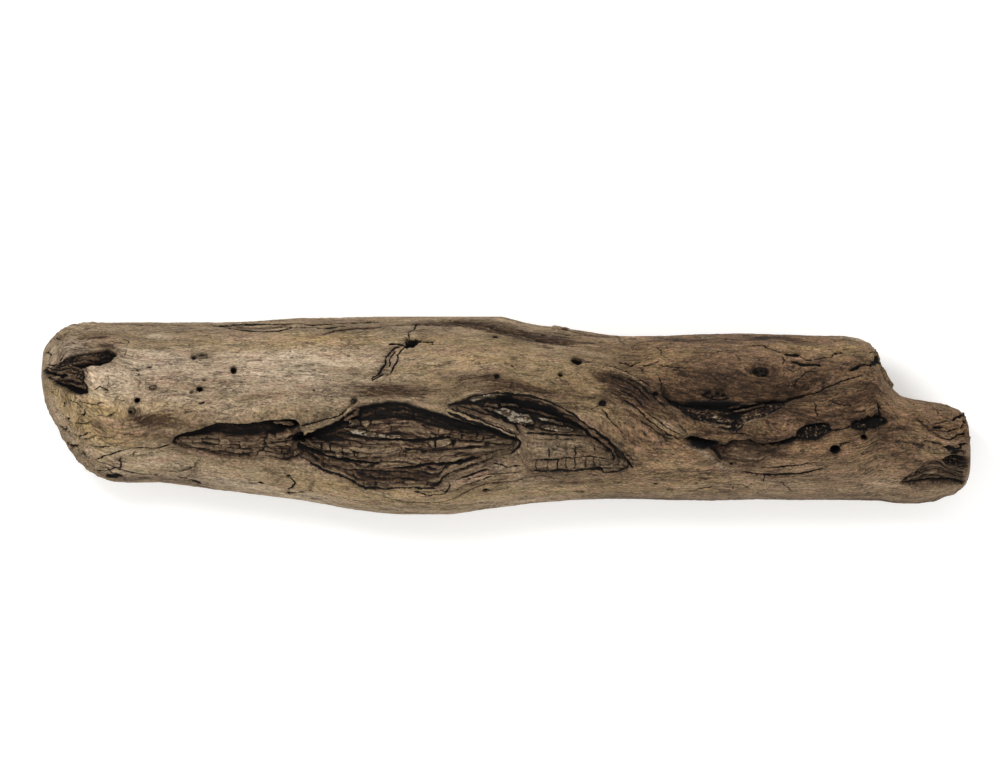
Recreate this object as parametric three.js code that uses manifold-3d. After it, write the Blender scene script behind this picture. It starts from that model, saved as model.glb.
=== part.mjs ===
// A weathered driftwood log. It lies on its worn underside with the hollowed face up.
// Millimetres, +Z up, +X along the log, origin on the floor under the middle of the log.
import * as THREE from "three";
import { mergeVertices } from "three/addons/utils/BufferGeometryUtils.js";
import Module from "manifold-3d";

const LOG_LENGTH = 465;
const MEAN_RADIUS = 43; // unrolls the round face into a flat sheet
const FLOOR = 0; // the underside is worn flat here
const STATIONS = 124; // along the log
const FACETS = 36; // around it
const SNAP_REACH = 1.9; // a corner this close to a hollow's edge moves onto it
const SNAP_SHARE = 0.9; // of the way
const HOLLOW_WALL = 6; // how far in from its edge a hollow reaches its depth
const END_MARGIN = 4; // the relief dies away this close to either end
const BORE_SIDES = 12; // of a beetle hole
const BORE_CLEARANCE = 3; // how far a hole's cutter stands out of the wood
const WOOD_COLOUR = 0x9b8465;

// Each rib is one section of the log: the far side's x and y, the near side's x and y,
// the crest's height, the belly's height before wear, and how square the far side is,
// where 2 is round.
const RIBS = [
  { far: [-LOG_LENGTH / 2, 19], near: [-LOG_LENGTH / 2, 19], crest: 40, belly: 40, square: 2 },
  { far: [-232, 26.5], near: [-231.5, 11.5], crest: 55, belly: 25, square: 2.1 },
  { far: [-231, 32.5], near: [-230, 5.5], crest: 63, belly: 16, square: 2.2 },
  { far: [-228, 37], near: [-227.5, 0], crest: 68, belly: 10, square: 2.3 },
  { far: [-223, 42], near: [-223.5, -5], crest: 72, belly: 6, square: 2.3 },
  { far: [-215, 45.5], near: [-220, -12], crest: 75, belly: 3, square: 2.3 },
  { far: [-206, 46.5], near: [-215.5, -20.5], crest: 77, belly: 0, square: 2.2 },
  { far: [-195, 46.5], near: [-209, -27], crest: 78, belly: -1, square: 2.1 },
  { far: [-183, 46.5], near: [-198, -33], crest: 79, belly: -2, square: 2 },
  { far: [-166, 46.5], near: [-172, -33.5], crest: 79, belly: -3, square: 2 },
  { far: [-140, 46.5], near: [-145, -37], crest: 79, belly: -3, square: 2 },
  { far: [-103, 48], near: [-103, -42.5], crest: 80, belly: -3, square: 2 },
  { far: [-73, 48.5], near: [-73, -47.5], crest: 83, belly: -4, square: 2 },
  { far: [-48, 49.3], near: [-50, -49.5], crest: 85.5, belly: -4, square: 2 },
  { far: [-20, 50], near: [-32, -50], crest: 86, belly: -4, square: 2 },
  { far: [-4, 49.2], near: [-10, -46.8], crest: 86, belly: -4, square: 2 },
  { far: [12, 45.5], near: [10, -44.5], crest: 84, belly: -4, square: 2 },
  { far: [34, 42.8], near: [32, -43], crest: 81, belly: -3, square: 2 },
  { far: [55, 39.4], near: [57, -42], crest: 79, belly: -3, square: 2 },
  { far: [90, 40], near: [90, -42.5], crest: 78, belly: -3, square: 2 },
  { far: [125, 40.5], near: [125, -42.5], crest: 78, belly: -3, square: 2 },
  { far: [158, 39.3], near: [153, -43], crest: 77, belly: -3, square: 2 },
  { far: [174, 38.5], near: [168, -43], crest: 76, belly: -3, square: 2.4 },
  { far: [182, 35.5], near: [177, -43], crest: 75.5, belly: -3, square: 2.8 },
  { far: [185.5, 31], near: [182, -43], crest: 75, belly: -3, square: 3.2 },
  { far: [187.5, 23.5], near: [187, -43], crest: 74.5, belly: -3, square: 3.6 },
  { far: [191.5, 17.5], near: [191, -43.5], crest: 74, belly: -2, square: 3.8 },
  { far: [198, 9.5], near: [198, -44], crest: 73.5, belly: -2, square: 4 },
  { far: [210, 7], near: [206, -44], crest: 72, belly: -1, square: 4 },
  { far: [221, 4.8], near: [214, -42.8], crest: 70, belly: 2, square: 3.8 },
  { far: [228, 0.5], near: [221.5, -40], crest: 66, belly: 6, square: 3.4 },
  { far: [230.5, -4], near: [228, -36.5], crest: 61, belly: 11, square: 3 },
  { far: [231.5, -9], near: [231, -30], crest: 52, belly: 20, square: 2.5 },
  { far: [LOG_LENGTH / 2, -17], near: [LOG_LENGTH / 2, -17], crest: 36, belly: 36, square: 2 },
];
const farRail = smoothCurve(RIBS.map(({ far }) => [far[0], far[1], 0]));
const nearRail = smoothCurve(RIBS.map(({ near }) => [near[0], near[1], 0]));
const heightRail = smoothCurve(RIBS.map(({ crest, belly }) => [crest, belly, 0]));
const squareRail = smoothCurve(RIBS.map(({ square }) => [square, 0, 0]));

// The hollows: the points of each edge as x and y seen from above, and the depth.
const HOLLOWS = [
  // The pit at the left end has an arm above and one below.
  { depth: 7, edge: [[-223, 23], [-217, 31], [-206, 33.5], [-196, 34], [-194, 29], [-204, 25], [-213, 19], [-220, 17]] },
  { depth: 7, edge: [[-229, 21], [-219, 20], [-212, 19], [-209.5, 10], [-219, 10], [-227, 15]] },
  // The long scar has three lobes.
  { depth: 7, edge: [[-166, -14], [-150, -7], [-128, -4], [-104, -3], [-103, -19], [-122, -22], [-146, -19]] },
  { depth: 9, edge: [[-107, -13], [-92, -4], [-74, 4], [-56, 7.5], [-38, 4], [-18, -2], [4, -10], [6, -16],
    [-4, -20], [-24, -24], [-31, -36], [-52, -37], [-74, -36], [-90, -30], [-105, -21]] },
  { depth: 8, edge: [[-29, 5], [-16, 10.5], [8, 10.5], [25, 4], [42, -6], [54, -17], [62, -27], [50, -30],
    [32, -28], [8, -24], [8, -12], [-4, -5], [-18, 0]] },
  // The right part has an upper hollow, a lower one, and two pockets.
  { depth: 13, edge: [[78, 11], [96, 7], [124, 8], [146, 10.5], [139, 3], [129, -4], [115, -8.5], [100, -7], [88, 0]] },
  { depth: 8, edge: [[89, -11], [100, -12.5], [118, -13], [138, -15], [150, -12], [136, -22], [122, -27], [108, -26], [98, -17]] },
  { depth: 7, edge: [[146, -9], [153, -3.5], [163, -3], [163, -9], [154, -14], [146, -14]] },
  { depth: 8, edge: [[170, -4], [175, 0.5], [185, -0.5], [185, -5], [176, -8], [170, -7]] },
  // The broken right end is split along the grain.
  { depth: 6, edge: [[190, -34], [203, -27], [214, -19], [229, -20], [229, -33], [210, -35]] },
];

// Ridges and shallow valleys: the ends of each line as x and y seen from above, height and half width.
const RIDGES = [
  { from: [47, 23], to: [86, -12], height: 3, width: 7 }, // swirl of grain over the upper hollow's end
  { from: [80, 27], to: [178, 26], height: 2, width: 10 },
  { from: [-60, 24], to: [20, 24], height: 2, width: 12 },
  { from: [-60, 8], to: [0, 14], height: 1.5, width: 6 }, // raised lip above the scar
  { from: [148, -22], to: [196, -16], height: 1.5, width: 8 },
  { from: [-198, -16], to: [-160, -25], height: -1.5, width: 7 },
  { from: [-216, 22], to: [-203, 28], height: 3, width: 3 }, // rib in the left pit
  { from: [-135, -13], to: [-106, -14], height: 3, width: 4 }, // planks of rotted wood in the scar
  { from: [-100, -15], to: [-72, -24], height: 5, width: 3.5 },
  { from: [-66, -6], to: [-36, -9], height: 5, width: 5 },
  { from: [-72, -22], to: [-26, -19], height: 4, width: 3 },
  { from: [-4, -1], to: [14, -8], height: 5, width: 4 },
  { from: [12, -15], to: [44, -24], height: 4, width: 5 },
  { from: [96, 0], to: [120, -1], height: 4, width: 4 },
  { from: [116, 6], to: [136, 5], height: 5, width: 2.5 },
];

// Broad lumps and hollows of the sides and the belly: x, degrees around from the far side over
// the crest, height, length and width.
const LUMPS = [
  { x: -165, degrees: -38, height: 2.5, length: 34, width: 14 },
  { x: -70, degrees: -28, height: -5, length: 55, width: 9 },
  { x: 30, degrees: -42, height: 3.5, length: 32, width: 12 },
  { x: 105, degrees: -30, height: -4.5, length: 40, width: 8 },
  { x: 150, degrees: -55, height: 2.5, length: 25, width: 12 },
  { x: -125, degrees: 208, height: -5, length: 45, width: 9 },
  { x: -20, degrees: 220, height: 3, length: 40, width: 14 },
  { x: 75, degrees: 208, height: -4.5, length: 34, width: 8 },
  { x: 150, degrees: 220, height: 3, length: 30, width: 12 },
  { x: 205, degrees: 210, height: -2.5, length: 18, width: 8 },
];

// Beetle holes in the upper face: x and y seen from above, radius and depth.
const BORES = [
  { x: -184, y: 7.5, radius: 1.4, depth: 9 },
  { x: -152.5, y: 13, radius: 1.6, depth: 10 },
  { x: -136, y: 23, radius: 1.8, depth: 8 },
  { x: 27, y: 20, radius: 1.2, depth: 7 },
  { x: 35, y: 26.5, radius: 2.3, depth: 9 },
  { x: 127, y: 21.5, radius: 3.2, depth: 5 },
  { x: 164, y: -17.5, radius: 2.4, depth: 10 },
  { x: 178.5, y: -11, radius: 1.3, depth: 6 },
];

function smoothCurve(points) {
  return new THREE.CatmullRomCurve3(points.map((point) => new THREE.Vector3(...point)), false, "centripetal");
}

function power(value, exponent) {
  return Math.sign(value) * Math.abs(value) ** exponent;
}

// One section of the smooth log; t runs from the left end to the right.
function sectionAt(t) {
  const { x: crest, y: belly } = heightRail.getPoint(t);
  return { far: farRail.getPoint(t), near: nearRail.getPoint(t), crest, belly, square: squareRail.getPoint(t).x };
}

// A point of the smooth log. The angle turns from the far side over the crest to the near side.
function smoothPoint({ far, near, crest, belly, square }, angle) {
  const exponent = Math.cos(angle) > 0 ? 2 / square : 1;
  const across = (1 + power(Math.cos(angle), exponent)) / 2;
  const up = (1 + Math.sin(angle)) / 2;
  const point = near.clone().lerp(far, across);
  point.z = belly + (crest - belly) * up;
  return point;
}

// A place on the flat sheet that the log's skin unrolls to.
function onSheet(x, angle) {
  return new THREE.Vector2(x, MEAN_RADIUS * (Math.PI / 2 - angle));
}

// The section and angle of a place on the upper face, found by halving from its x and y.
function lookDown(x, y) {
  let low = 0;
  let high = 1;
  let section;
  let share;
  for (let halving = 0; halving < 24; halving++) {
    const middle = (low + high) / 2;
    section = sectionAt(middle);
    share = THREE.MathUtils.clamp((y - section.near.y) / (section.far.y - section.near.y), 0.01, 0.99);
    if (THREE.MathUtils.lerp(section.near.x, section.far.x, share) < x) low = middle;
    else high = middle;
  }
  const across = 2 * share - 1;
  return { section, angle: Math.acos(across > 0 ? across ** (section.square / 2) : across) };
}

function seenFromAbove([x, y]) {
  return onSheet(x, lookDown(x, y).angle);
}

function nearestOnLine(place, start, end) {
  const along = end.clone().sub(start);
  const share = THREE.MathUtils.clamp(place.clone().sub(start).dot(along) / along.lengthSq(), 0, 1);
  return start.clone().addScaledVector(along, share);
}

function nearestOnEdge(place, corners) {
  const points = corners.map((corner, i) => nearestOnLine(place, corner, corners[(i + 1) % corners.length]));
  return points.reduce((best, point) => (place.distanceTo(point) < place.distanceTo(best) ? point : best));
}

// Counts the edges that a ray from the place crosses.
function isInside(place, corners) {
  const crossed = corners.filter((a, i) => {
    const b = corners[(i + 1) % corners.length];
    return a.y > place.y !== b.y > place.y && place.x < a.x + ((place.y - a.y) / (b.y - a.y)) * (b.x - a.x);
  });
  return crossed.length % 2 === 1;
}

const hollows = HOLLOWS.map(({ depth, edge }) => ({ depth, corners: edge.map(seenFromAbove) }));
const ridges = RIDGES.map((ridge) => ({ ...ridge, start: seenFromAbove(ridge.from), end: seenFromAbove(ridge.to) }));

// Corners of the grid close to a hollow's edge move onto it, so that the edge is clean.
function snapped(place) {
  return hollows.reduce((result, { corners }) => {
    const edgePoint = nearestOnEdge(place, corners);
    const isClose = place.distanceTo(edgePoint) < SNAP_REACH;
    return isClose ? place.clone().lerp(edgePoint, SNAP_SHARE) : result;
  }, place);
}

function hollowDepth(place) {
  const depths = hollows.map(({ corners, depth }) => {
    if (!isInside(place, corners)) return 0;
    return depth * THREE.MathUtils.smoothstep(place.distanceTo(nearestOnEdge(place, corners)), 0, HOLLOW_WALL);
  });
  return Math.max(...depths);
}

function ridgeHeight(place) {
  const heights = ridges.map(({ start, end, height, width }) => {
    const distance = place.distanceTo(nearestOnLine(place, start, end));
    return height * Math.exp(-((distance / width) ** 2));
  });
  return heights.reduce((sum, height) => sum + height, 0);
}

function lumpHeight(x, angle) {
  const heights = LUMPS.map(({ x: middle, degrees, height, length, width }) => {
    const along = (x - middle) / length;
    const turned = Math.abs(angle - THREE.MathUtils.degToRad(degrees));
    const around = (MEAN_RADIUS * Math.min(turned, 2 * Math.PI - turned)) / width;
    return height * Math.exp(-(along ** 2) - around ** 2);
  });
  return heights.reduce((sum, height) => sum + height, 0);
}

// A point of the finished surface: the smooth log with its relief, worn flat underneath.
function woodPoint(section, angle) {
  const smooth = smoothPoint(section, angle);
  const isUpper = Math.sin(angle) > 0;
  const place = isUpper ? snapped(onSheet(smooth.x, angle)) : onSheet(smooth.x, angle);
  const turned = Math.PI / 2 - place.y / MEAN_RADIUS;
  const point = smoothPoint(section, turned);
  point.x += place.x - smooth.x;
  const fade = THREE.MathUtils.smoothstep(LOG_LENGTH / 2 - Math.abs(point.x), 0, END_MARGIN);
  const relief = isUpper ? ridgeHeight(place) - hollowDepth(place) : 0;
  const move = fade * (relief + lumpHeight(point.x, turned));
  point.y += move * Math.cos(turned);
  point.z = Math.max(point.z + move * Math.sin(turned), FLOOR);
  return point;
}

// Turns an even share around the log into an angle from the belly, over the far side and the
// crest, to the belly again. The facets are finest on the hollowed face.
function facetAngle(share) {
  const stops = [[0, -90], [0.2, 30], [0.82, 165], [1, 270]];
  const next = Math.max(1, stops.findIndex((stop) => stop[0] >= share));
  const [[fromShare, from], [toShare, to]] = [stops[next - 1], stops[next]];
  return THREE.MathUtils.degToRad(THREE.MathUtils.mapLinear(share, fromShare, toShare, from, to));
}

// A globe's grid of corners, each carried to its place on the log.
function logGeometry() {
  const geometry = new THREE.SphereGeometry(1, FACETS, STATIONS);
  const { position, uv } = geometry.attributes;
  for (let i = 0; i < position.count; i++) {
    const section = sectionAt(farRail.getUtoTmapping(uv.getY(i)));
    const { x, y, z } = woodPoint(section, facetAngle(uv.getX(i)));
    position.setXYZ(i, x, y, z);
  }
  return geometry;
}

// A cutter for one beetle hole, square to the surface at its place.
function boreGeometry({ x, y, radius, depth }) {
  const { section, angle } = lookDown(x, y);
  const mouth = woodPoint(section, angle);
  const outward = new THREE.Vector3(0, Math.cos(angle), Math.sin(angle));
  const geometry = new THREE.CylinderGeometry(radius, radius, depth + BORE_CLEARANCE, BORE_SIDES);
  geometry.applyQuaternion(new THREE.Quaternion().setFromUnitVectors(THREE.Object3D.DEFAULT_UP, outward));
  const middle = mouth.addScaledVector(outward, (BORE_CLEARANCE - depth) / 2);
  return geometry.translate(middle.x, middle.y, middle.z);
}

const wasm = await Module();
wasm.setup();

function solidFrom(geometry) {
  const bare = geometry.clone();
  bare.deleteAttribute("normal");
  bare.deleteAttribute("uv");
  const merged = mergeVertices(bare, 1e-3);
  const vertProperties = merged.attributes.position.array;
  const triVerts = new Uint32Array(merged.index.array);
  return new wasm.Manifold(new wasm.Mesh({ numProp: 3, vertProperties, triVerts }));
}

function geometryFrom(solid) {
  const { vertProperties, triVerts } = solid.getMesh();
  const geometry = new THREE.BufferGeometry();
  geometry.setAttribute("position", new THREE.BufferAttribute(vertProperties, 3));
  geometry.setIndex(new THREE.BufferAttribute(triVerts, 1));
  geometry.computeVertexNormals();
  return geometry;
}

function makeLog() {
  const cutters = BORES.map((bore) => solidFrom(boreGeometry(bore)));
  const bored = cutters.reduce((wood, cutter) => wood.subtract(cutter), solidFrom(logGeometry()));
  const material = new THREE.MeshStandardMaterial({ color: WOOD_COLOUR, roughness: 0.9, metalness: 0 });
  const mesh = new THREE.Mesh(geometryFrom(bored), material);
  mesh.name = "driftwood_log";
  return mesh;
}

const log = new THREE.Group();
log.add(makeLog());
export default log;
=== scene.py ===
# A weathered driftwood log on a pale studio floor, seen from straight above.
# The log is one surface over a grid, with a step along the log and a step around it. It starts
# as a smooth bent cylinder, and each hollow, plank, crack and hole moves its skin in or out.
# Sizes are millimetres until the mesh is made. A place on the log is x along it and y across
# it as seen from above, where y grows towards the far side.
import math

import bpy
import numpy as np
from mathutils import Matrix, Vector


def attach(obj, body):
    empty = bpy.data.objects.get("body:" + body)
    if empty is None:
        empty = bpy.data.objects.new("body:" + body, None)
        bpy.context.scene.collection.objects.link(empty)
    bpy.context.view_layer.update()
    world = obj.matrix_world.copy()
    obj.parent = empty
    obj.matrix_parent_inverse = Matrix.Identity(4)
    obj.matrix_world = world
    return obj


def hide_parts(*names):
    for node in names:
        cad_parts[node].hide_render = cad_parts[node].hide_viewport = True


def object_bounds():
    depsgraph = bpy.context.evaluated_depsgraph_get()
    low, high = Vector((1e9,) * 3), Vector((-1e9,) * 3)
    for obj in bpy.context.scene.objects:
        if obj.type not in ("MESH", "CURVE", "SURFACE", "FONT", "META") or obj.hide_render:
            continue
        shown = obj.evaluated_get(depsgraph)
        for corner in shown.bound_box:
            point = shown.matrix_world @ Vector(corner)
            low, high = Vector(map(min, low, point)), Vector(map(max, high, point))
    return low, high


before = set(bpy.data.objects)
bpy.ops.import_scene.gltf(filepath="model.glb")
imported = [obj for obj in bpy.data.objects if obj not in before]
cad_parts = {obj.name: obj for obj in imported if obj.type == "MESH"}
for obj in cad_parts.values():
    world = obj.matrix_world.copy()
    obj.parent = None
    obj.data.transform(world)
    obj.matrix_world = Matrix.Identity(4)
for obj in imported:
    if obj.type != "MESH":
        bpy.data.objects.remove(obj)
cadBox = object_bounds()
metre = 0.001  # one millimetre

# The smooth log. A rib is one section: x and y of its far side and of its near side, the
# heights of its crest and belly, and how square its far side is, where 2 is round.
logForm = {
    "meanRadius": 43.0, "middleHeight": 38,
    "stations": 1240,
    "columns": 440,
    "endFace": (0.3, 0.45),  # how far the skin faces along the log where an end begins, and the change from there
    "stub": (172, 16),  # x where the grain of the stub starts to run straight, and the length of the change
    # the sheet that features are drawn on is shaken: the kinds of noise, and how far in x and w
    "shakes": ((3.1, 2.3, 2, 11), (4.2, 2.1, 3, 23)), "shaken": (0.5, 0.38),
    "tips": (232.5, 4), "pitsAtTips": 0.6,  # x of both tips, how far in the relief fades, and how much pits keep
    "overSkin": 1.0,  # nothing in a hollow stands higher than this above the skin
    "margin": 0.02,  # kept free inside the solid's box
    "angles": ((0, -90), (0.1, -15), (0.9, 195), (1, 270)),  # share of the columns, degrees
    "triangles": 197000,  # in each length
    # the lengths that the log is cut into, with the x that each goes up to
    "lengths": {"logLengthA": -119, "logLengthB": -7, "logLengthC": 108, "logLengthD": 300},
    "ribs": (
        (-232.5, 19, -232.5, 19, 40, 40, 2), (-232, 26.5, -231.5, 11.5, 55, 25, 2.1),
        (-231, 32.5, -230, 5.5, 63, 16, 2.2), (-228, 37, -227.5, 0, 68, 10, 2.3),
        (-223, 42, -224.5, -5, 72, 6, 2.3), (-215, 45.5, -220.8, -12.5, 75, 3, 2.3),
        (-206, 46.5, -216, -20.5, 77, 0, 2.2), (-195, 46.5, -209, -27, 78, -1, 2.1),
        (-183, 46.5, -198, -33, 79, -2, 2), (-166, 46.5, -172, -33.5, 79, -3, 2),
        (-140, 46.5, -145, -37, 79, -3, 2), (-103, 48, -103, -42.5, 80, -3, 2),
        (-73, 48.5, -73, -47.5, 83, -4, 2), (-48, 49.3, -50, -49.5, 85.5, -4, 2),
        (-20, 50, -32, -50, 86, -4, 2), (-4, 49.2, -10, -46.8, 86, -4, 2),
        (12, 45.5, 10, -44.5, 84, -4, 2), (34, 42.8, 32, -43, 81, -3, 2),
        (55, 39.4, 57, -42, 79, -3, 2), (90, 40, 90, -42.5, 78, -3, 2),
        (125, 40.5, 125, -42.5, 78, -3, 2), (158, 39.3, 153, -43, 77, -3, 2),
        (174, 38.5, 168, -43, 76, -3, 2.4), (182, 35.2, 177, -43, 75.5, -3, 2.8),
        (185.5, 31, 182, -43, 75, -3, 3.2), (187.3, 23.5, 187, -43, 74.5, -3, 3.6),
        (190.6, 17.5, 191, -43.5, 74, -2, 3.8), (196.4, 10.2, 198, -44, 73.5, -2, 4),
        (210, 7, 206, -44, 72, -1, 4), (221, 4.8, 214, -42.8, 70, 2, 3.8),
        (228.3, 1, 221.5, -40, 66, 6, 3.4), (230.8, -4, 228.6, -36, 61, 11, 3),
        (231.6, -9, 231.8, -29.5, 52, 20, 2.5), (232.5, -17, 232.5, -17, 36, 36, 2),
    ),
    # Broad ridges and valleys: both ends of the line, height, half width.
    "ridges": (
        (47, 23, 86, -12, 3, 7), (80, 27, 178, 26, 2, 10), (-60, 24, 20, 24, 2, 12),
        (-60, 8, 0, 14, 1.5, 6), (148, -22, 196, -16, 1.5, 8), (-198, -16, -160, -25, -1.5, 7),
    ),
    # Broad lumps of the sides and belly: x, degrees around from the far side, height, length, width.
    "lumps": (
        (-165, -38, 2.5, 34, 14), (-70, -28, -5, 55, 9), (30, -42, 3.5, 32, 12),
        (105, -30, -4.5, 40, 8), (150, -55, 2.5, 25, 12), (-125, 208, -5, 45, 9),
        (-20, 220, 3, 40, 14), (75, 208, -4.5, 34, 8), (150, 220, 3, 30, 12),
        (205, 210, -2.5, 18, 8),
    ),
}


def smoothCurve(points, t):
    # Centripetal Catmull-Rom: a cubic from each point to the next, whose slopes come from the
    # points on both sides, weighed by the square roots of the distances between them.
    p = np.asarray(points, float)
    p = np.vstack([2 * p[0] - p[1], p, 2 * p[-1] - p[-2]])
    gap = np.sqrt(np.linalg.norm(np.diff(p, axis=0), axis=1))
    place = np.clip(np.asarray(t, float), 0, 1) * (len(p) - 3)
    i = np.minimum(place.astype(int), len(p) - 4)
    s = (place - i)[:, None]
    mid = np.where(gap[i + 1] < 1e-4, 1, gap[i + 1])[:, None]
    before = np.where(gap[i][:, None] < 1e-4, mid, gap[i][:, None])
    after = np.where(gap[i + 2][:, None] < 1e-4, mid, gap[i + 2][:, None])
    a, b, c, d = p[i], p[i + 1], p[i + 2], p[i + 3]
    m1 = mid * ((b - a) / before - (c - a) / (before + mid) + (c - b) / mid)
    m2 = mid * ((c - b) / mid - (d - b) / (mid + after) + (d - c) / after)
    cubic = 2 * b - 2 * c + m1 + m2
    square = 3 * c - 3 * b - 2 * m1 - m2
    return b + s * (m1 + s * (square + s * cubic))


def section(t):
    # All that one section needs: far x, far y, near x, near y, crest, belly, squareness.
    ribs = np.array(logForm["ribs"], float)
    blank = np.zeros((len(ribs), 1))
    far = smoothCurve(np.hstack([ribs[:, 0:2], blank]), t)
    near = smoothCurve(np.hstack([ribs[:, 2:4], blank]), t)
    height = smoothCurve(np.hstack([ribs[:, 4:6], blank]), t)
    square = smoothCurve(np.hstack([ribs[:, 6:7], blank, blank]), t)
    return far[:, 0], far[:, 1], near[:, 0], near[:, 1], height[:, 0], height[:, 1], square[:, 0]


def sectionPoint(parts, angle):
    # Across the section it is (1 + cos) / 2 of the way from near to far, with the cosine
    # raised to 2 / squareness on the far half; up it is (1 + sin) / 2 from belly to crest.
    farX, farY, nearX, nearY, crest, belly, square = parts
    cosine, sine = np.cos(angle), np.sin(angle)
    bent = np.abs(cosine) ** np.where(cosine > 0, 2 / square, 1)
    across = (1 + np.sign(cosine) * bent) / 2
    x = nearX + (farX - nearX) * across
    y = nearY + (farY - nearY) * across
    return x, y, belly + (crest - belly) * (1 + sine) / 2


def lookDown(points):
    # From x and y seen from above to x and w, where w is the way around the log from its crest:
    # the section whose width passes through the point is found by halving.
    points = np.asarray(points, float)
    low, high = np.zeros(len(points)), np.ones(len(points))
    for halving in range(26):
        t = (low + high) / 2
        farX, farY, nearX, nearY, crest, belly, square = section(t)
        share = np.clip((points[:, 1] - nearY) / (farY - nearY + 1e-9), 0.004, 0.996)
        left = nearX + (farX - nearX) * share < points[:, 0]
        low, high = np.where(left, t, low), np.where(left, high, t)
    across = 2 * share - 1
    cosine = np.where(across > 0, np.abs(across) ** (square / 2), across)
    return np.column_stack([points[:, 0], logForm["meanRadius"] * (math.pi / 2 - np.arccos(cosine))])


def rise(value):
    # The s-curve 3v^2 - 2v^3 of a value held between 0 and 1.
    value = np.clip(value, 0, 1)
    return value * value * (3 - 2 * value)


def bell(value):
    # The bell curve: e to the power of minus the square.
    return np.exp(-value * value)


def noise(x, y, z, seed):
    # Value noise from -1 to 1: a random number at each whole point, blended with s-curves.
    table = np.random.default_rng(seed).uniform(-1, 1, 65536).astype(np.float32)
    whole = [np.floor(part).astype(np.int64) for part in (x, y, z)]
    blend = [rise(part - base).astype(np.float32) for part, base in zip((x, y, z), whole)]
    total = np.zeros(np.broadcast(x, y, z).shape, np.float32)
    for dx in (0, 1):
        for dy in (0, 1):
            for dz in (0, 1):
                key = (whole[0] + dx) * 73856093 ^ (whole[1] + dy) * 19349663 ^ (whole[2] + dz) * 83492791
                weight = ((blend[0] if dx else 1 - blend[0]) * (blend[1] if dy else 1 - blend[1])
                          * (blend[2] if dz else 1 - blend[2]))
                total += table[key & 65535] * weight
    return total


def layeredNoise(x, y, z, layers, seed):
    # Noise added to itself, each layer twice as fine and half as strong as the last.
    total = 0
    for layer in range(layers):
        total = total + noise(x * 2 ** layer, y * 2 ** layer, z * 2 ** layer, seed + layer) / 2 ** layer
    return total


def grainNoise(kind, x, y, z=np.zeros(1), seed=0):
    # Layered noise of one kind, which gives the length and width of its features in millimetres,
    # its number of layers, and a seed that is added to the given one.
    length, width, layers, ownSeed = kind
    return layeredNoise(x / length, y / width, z / width, layers, seed + ownSeed)


class Skin:
    # The grid of the log's skin: its smooth place and normal, its place on the unrolled sheet
    # (x and w), the relief that moves it along the normal, and the tones painted on it.
    def __init__(self, form):
        fine = np.linspace(0, 1, 4001)
        parts = section(fine)
        steps = [np.hypot(np.diff(parts[a]), np.diff(parts[b])) for a, b in ((0, 1), (2, 3), (4, 5))]
        length = np.concatenate([[0], np.cumsum((steps[0] + steps[1] + steps[2] / 2) / 2)])
        t = np.interp(np.linspace(0, length[-1], form["stations"]), length, fine)
        share = np.arange(form["columns"]) / form["columns"]
        stops = np.array(form["angles"], float)
        self.angle = np.radians(np.interp(share, stops[:, 0], stops[:, 1]))
        parts = [part[:, None] for part in section(t)]
        x, y, z = sectionPoint(parts, self.angle[None, :])
        self.place = np.stack([x, y, z], axis=-1)
        along = np.gradient(self.place, axis=0)
        wrapped = np.concatenate([self.place[:, -1:], self.place, self.place[:, :1]], axis=1)
        around = (wrapped[:, 2:] - wrapped[:, :-2]) / 2
        self.normal = np.cross(around, along)
        self.normal /= np.linalg.norm(self.normal, axis=-1, keepdims=True) + 1e-9
        self.normal[0] = (-1, 0, 0)
        self.normal[-1] = (1, 0, 0)
        self.w = form["meanRadius"] * (math.pi / 2 - self.angle)
        self.x = x
        facing, change = form["endFace"]
        self.endFace = rise((np.abs(self.normal[..., 0]) - facing) / change)  # 1 where it faces along the log
        stub, change = form["stub"]
        self.straight = np.maximum(self.endFace, rise((x - stub) / change))  # 1 where the grain runs straight on
        self.rowLow, self.rowHigh = x.min(axis=1), x.max(axis=1)
        shape = x.shape
        self.relief = np.zeros(shape)
        self.sunk = np.zeros(shape)
        self.tones = {name: np.zeros(shape) for name in
                      ("dark", "pale", "rot", "layer", "grain", "yellow", "rosy", "bleach", "tan", "stainAndShade")}
        wide = np.broadcast_to(self.w, shape)
        self.layerPlace = np.stack([x, wide, np.zeros(shape)], axis=-1)  # where the rot's layers are measured
        # features are drawn on a slightly shaken sheet, so that none has a ruled edge
        self.shakenX = x + form["shaken"][0] * grainNoise(form["shakes"][0], x, wide)
        self.shakenW = wide + form["shaken"][1] * grainNoise(form["shakes"][1], x, wide)

    def window(self, points, reach):
        # The rows and columns that come within reach of the points.
        low, high = points.min(axis=0) - reach, points.max(axis=0) + reach
        rows = np.flatnonzero((self.rowLow <= high[0]) & (self.rowHigh >= low[0]))
        columns = np.flatnonzero((self.w <= high[1]) & (self.w >= low[1]))
        return slice(rows[0], rows[-1] + 1), slice(columns[0], columns[-1] + 1)

    def line(self, points, reach, shaken=True):
        # Distance to a line of points and the share of its length at the nearest point.
        area = self.window(points, reach + 1.5)
        x = (self.shakenX if shaken else self.x)[area]
        w = self.shakenW[area] if shaken else np.broadcast_to(self.w[area[1]], x.shape)
        steps = np.diff(points, axis=0)
        lengths = np.maximum(np.linalg.norm(steps, axis=1), 1e-6)
        total = lengths.sum()
        best = np.full(x.shape, 1e6)
        share = np.zeros(x.shape)
        gone = 0
        for start, step, size in zip(points[:-1], steps, lengths):
            along = np.clip(((x - start[0]) * step[0] + (w - start[1]) * step[1]) / size ** 2, 0, 1)
            away = np.hypot(x - start[0] - along * step[0], w - start[1] - along * step[1])
            closer = away < best
            best[closer] = away[closer]
            share[closer] = ((gone + along * size) / total)[closer]
            gone += size
        return area, best, share

    def paint(self, area, name, amount):
        # The stronger of the tone that is there and the new one.
        self.tones[name][area] = np.maximum(self.tones[name][area], amount)


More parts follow.
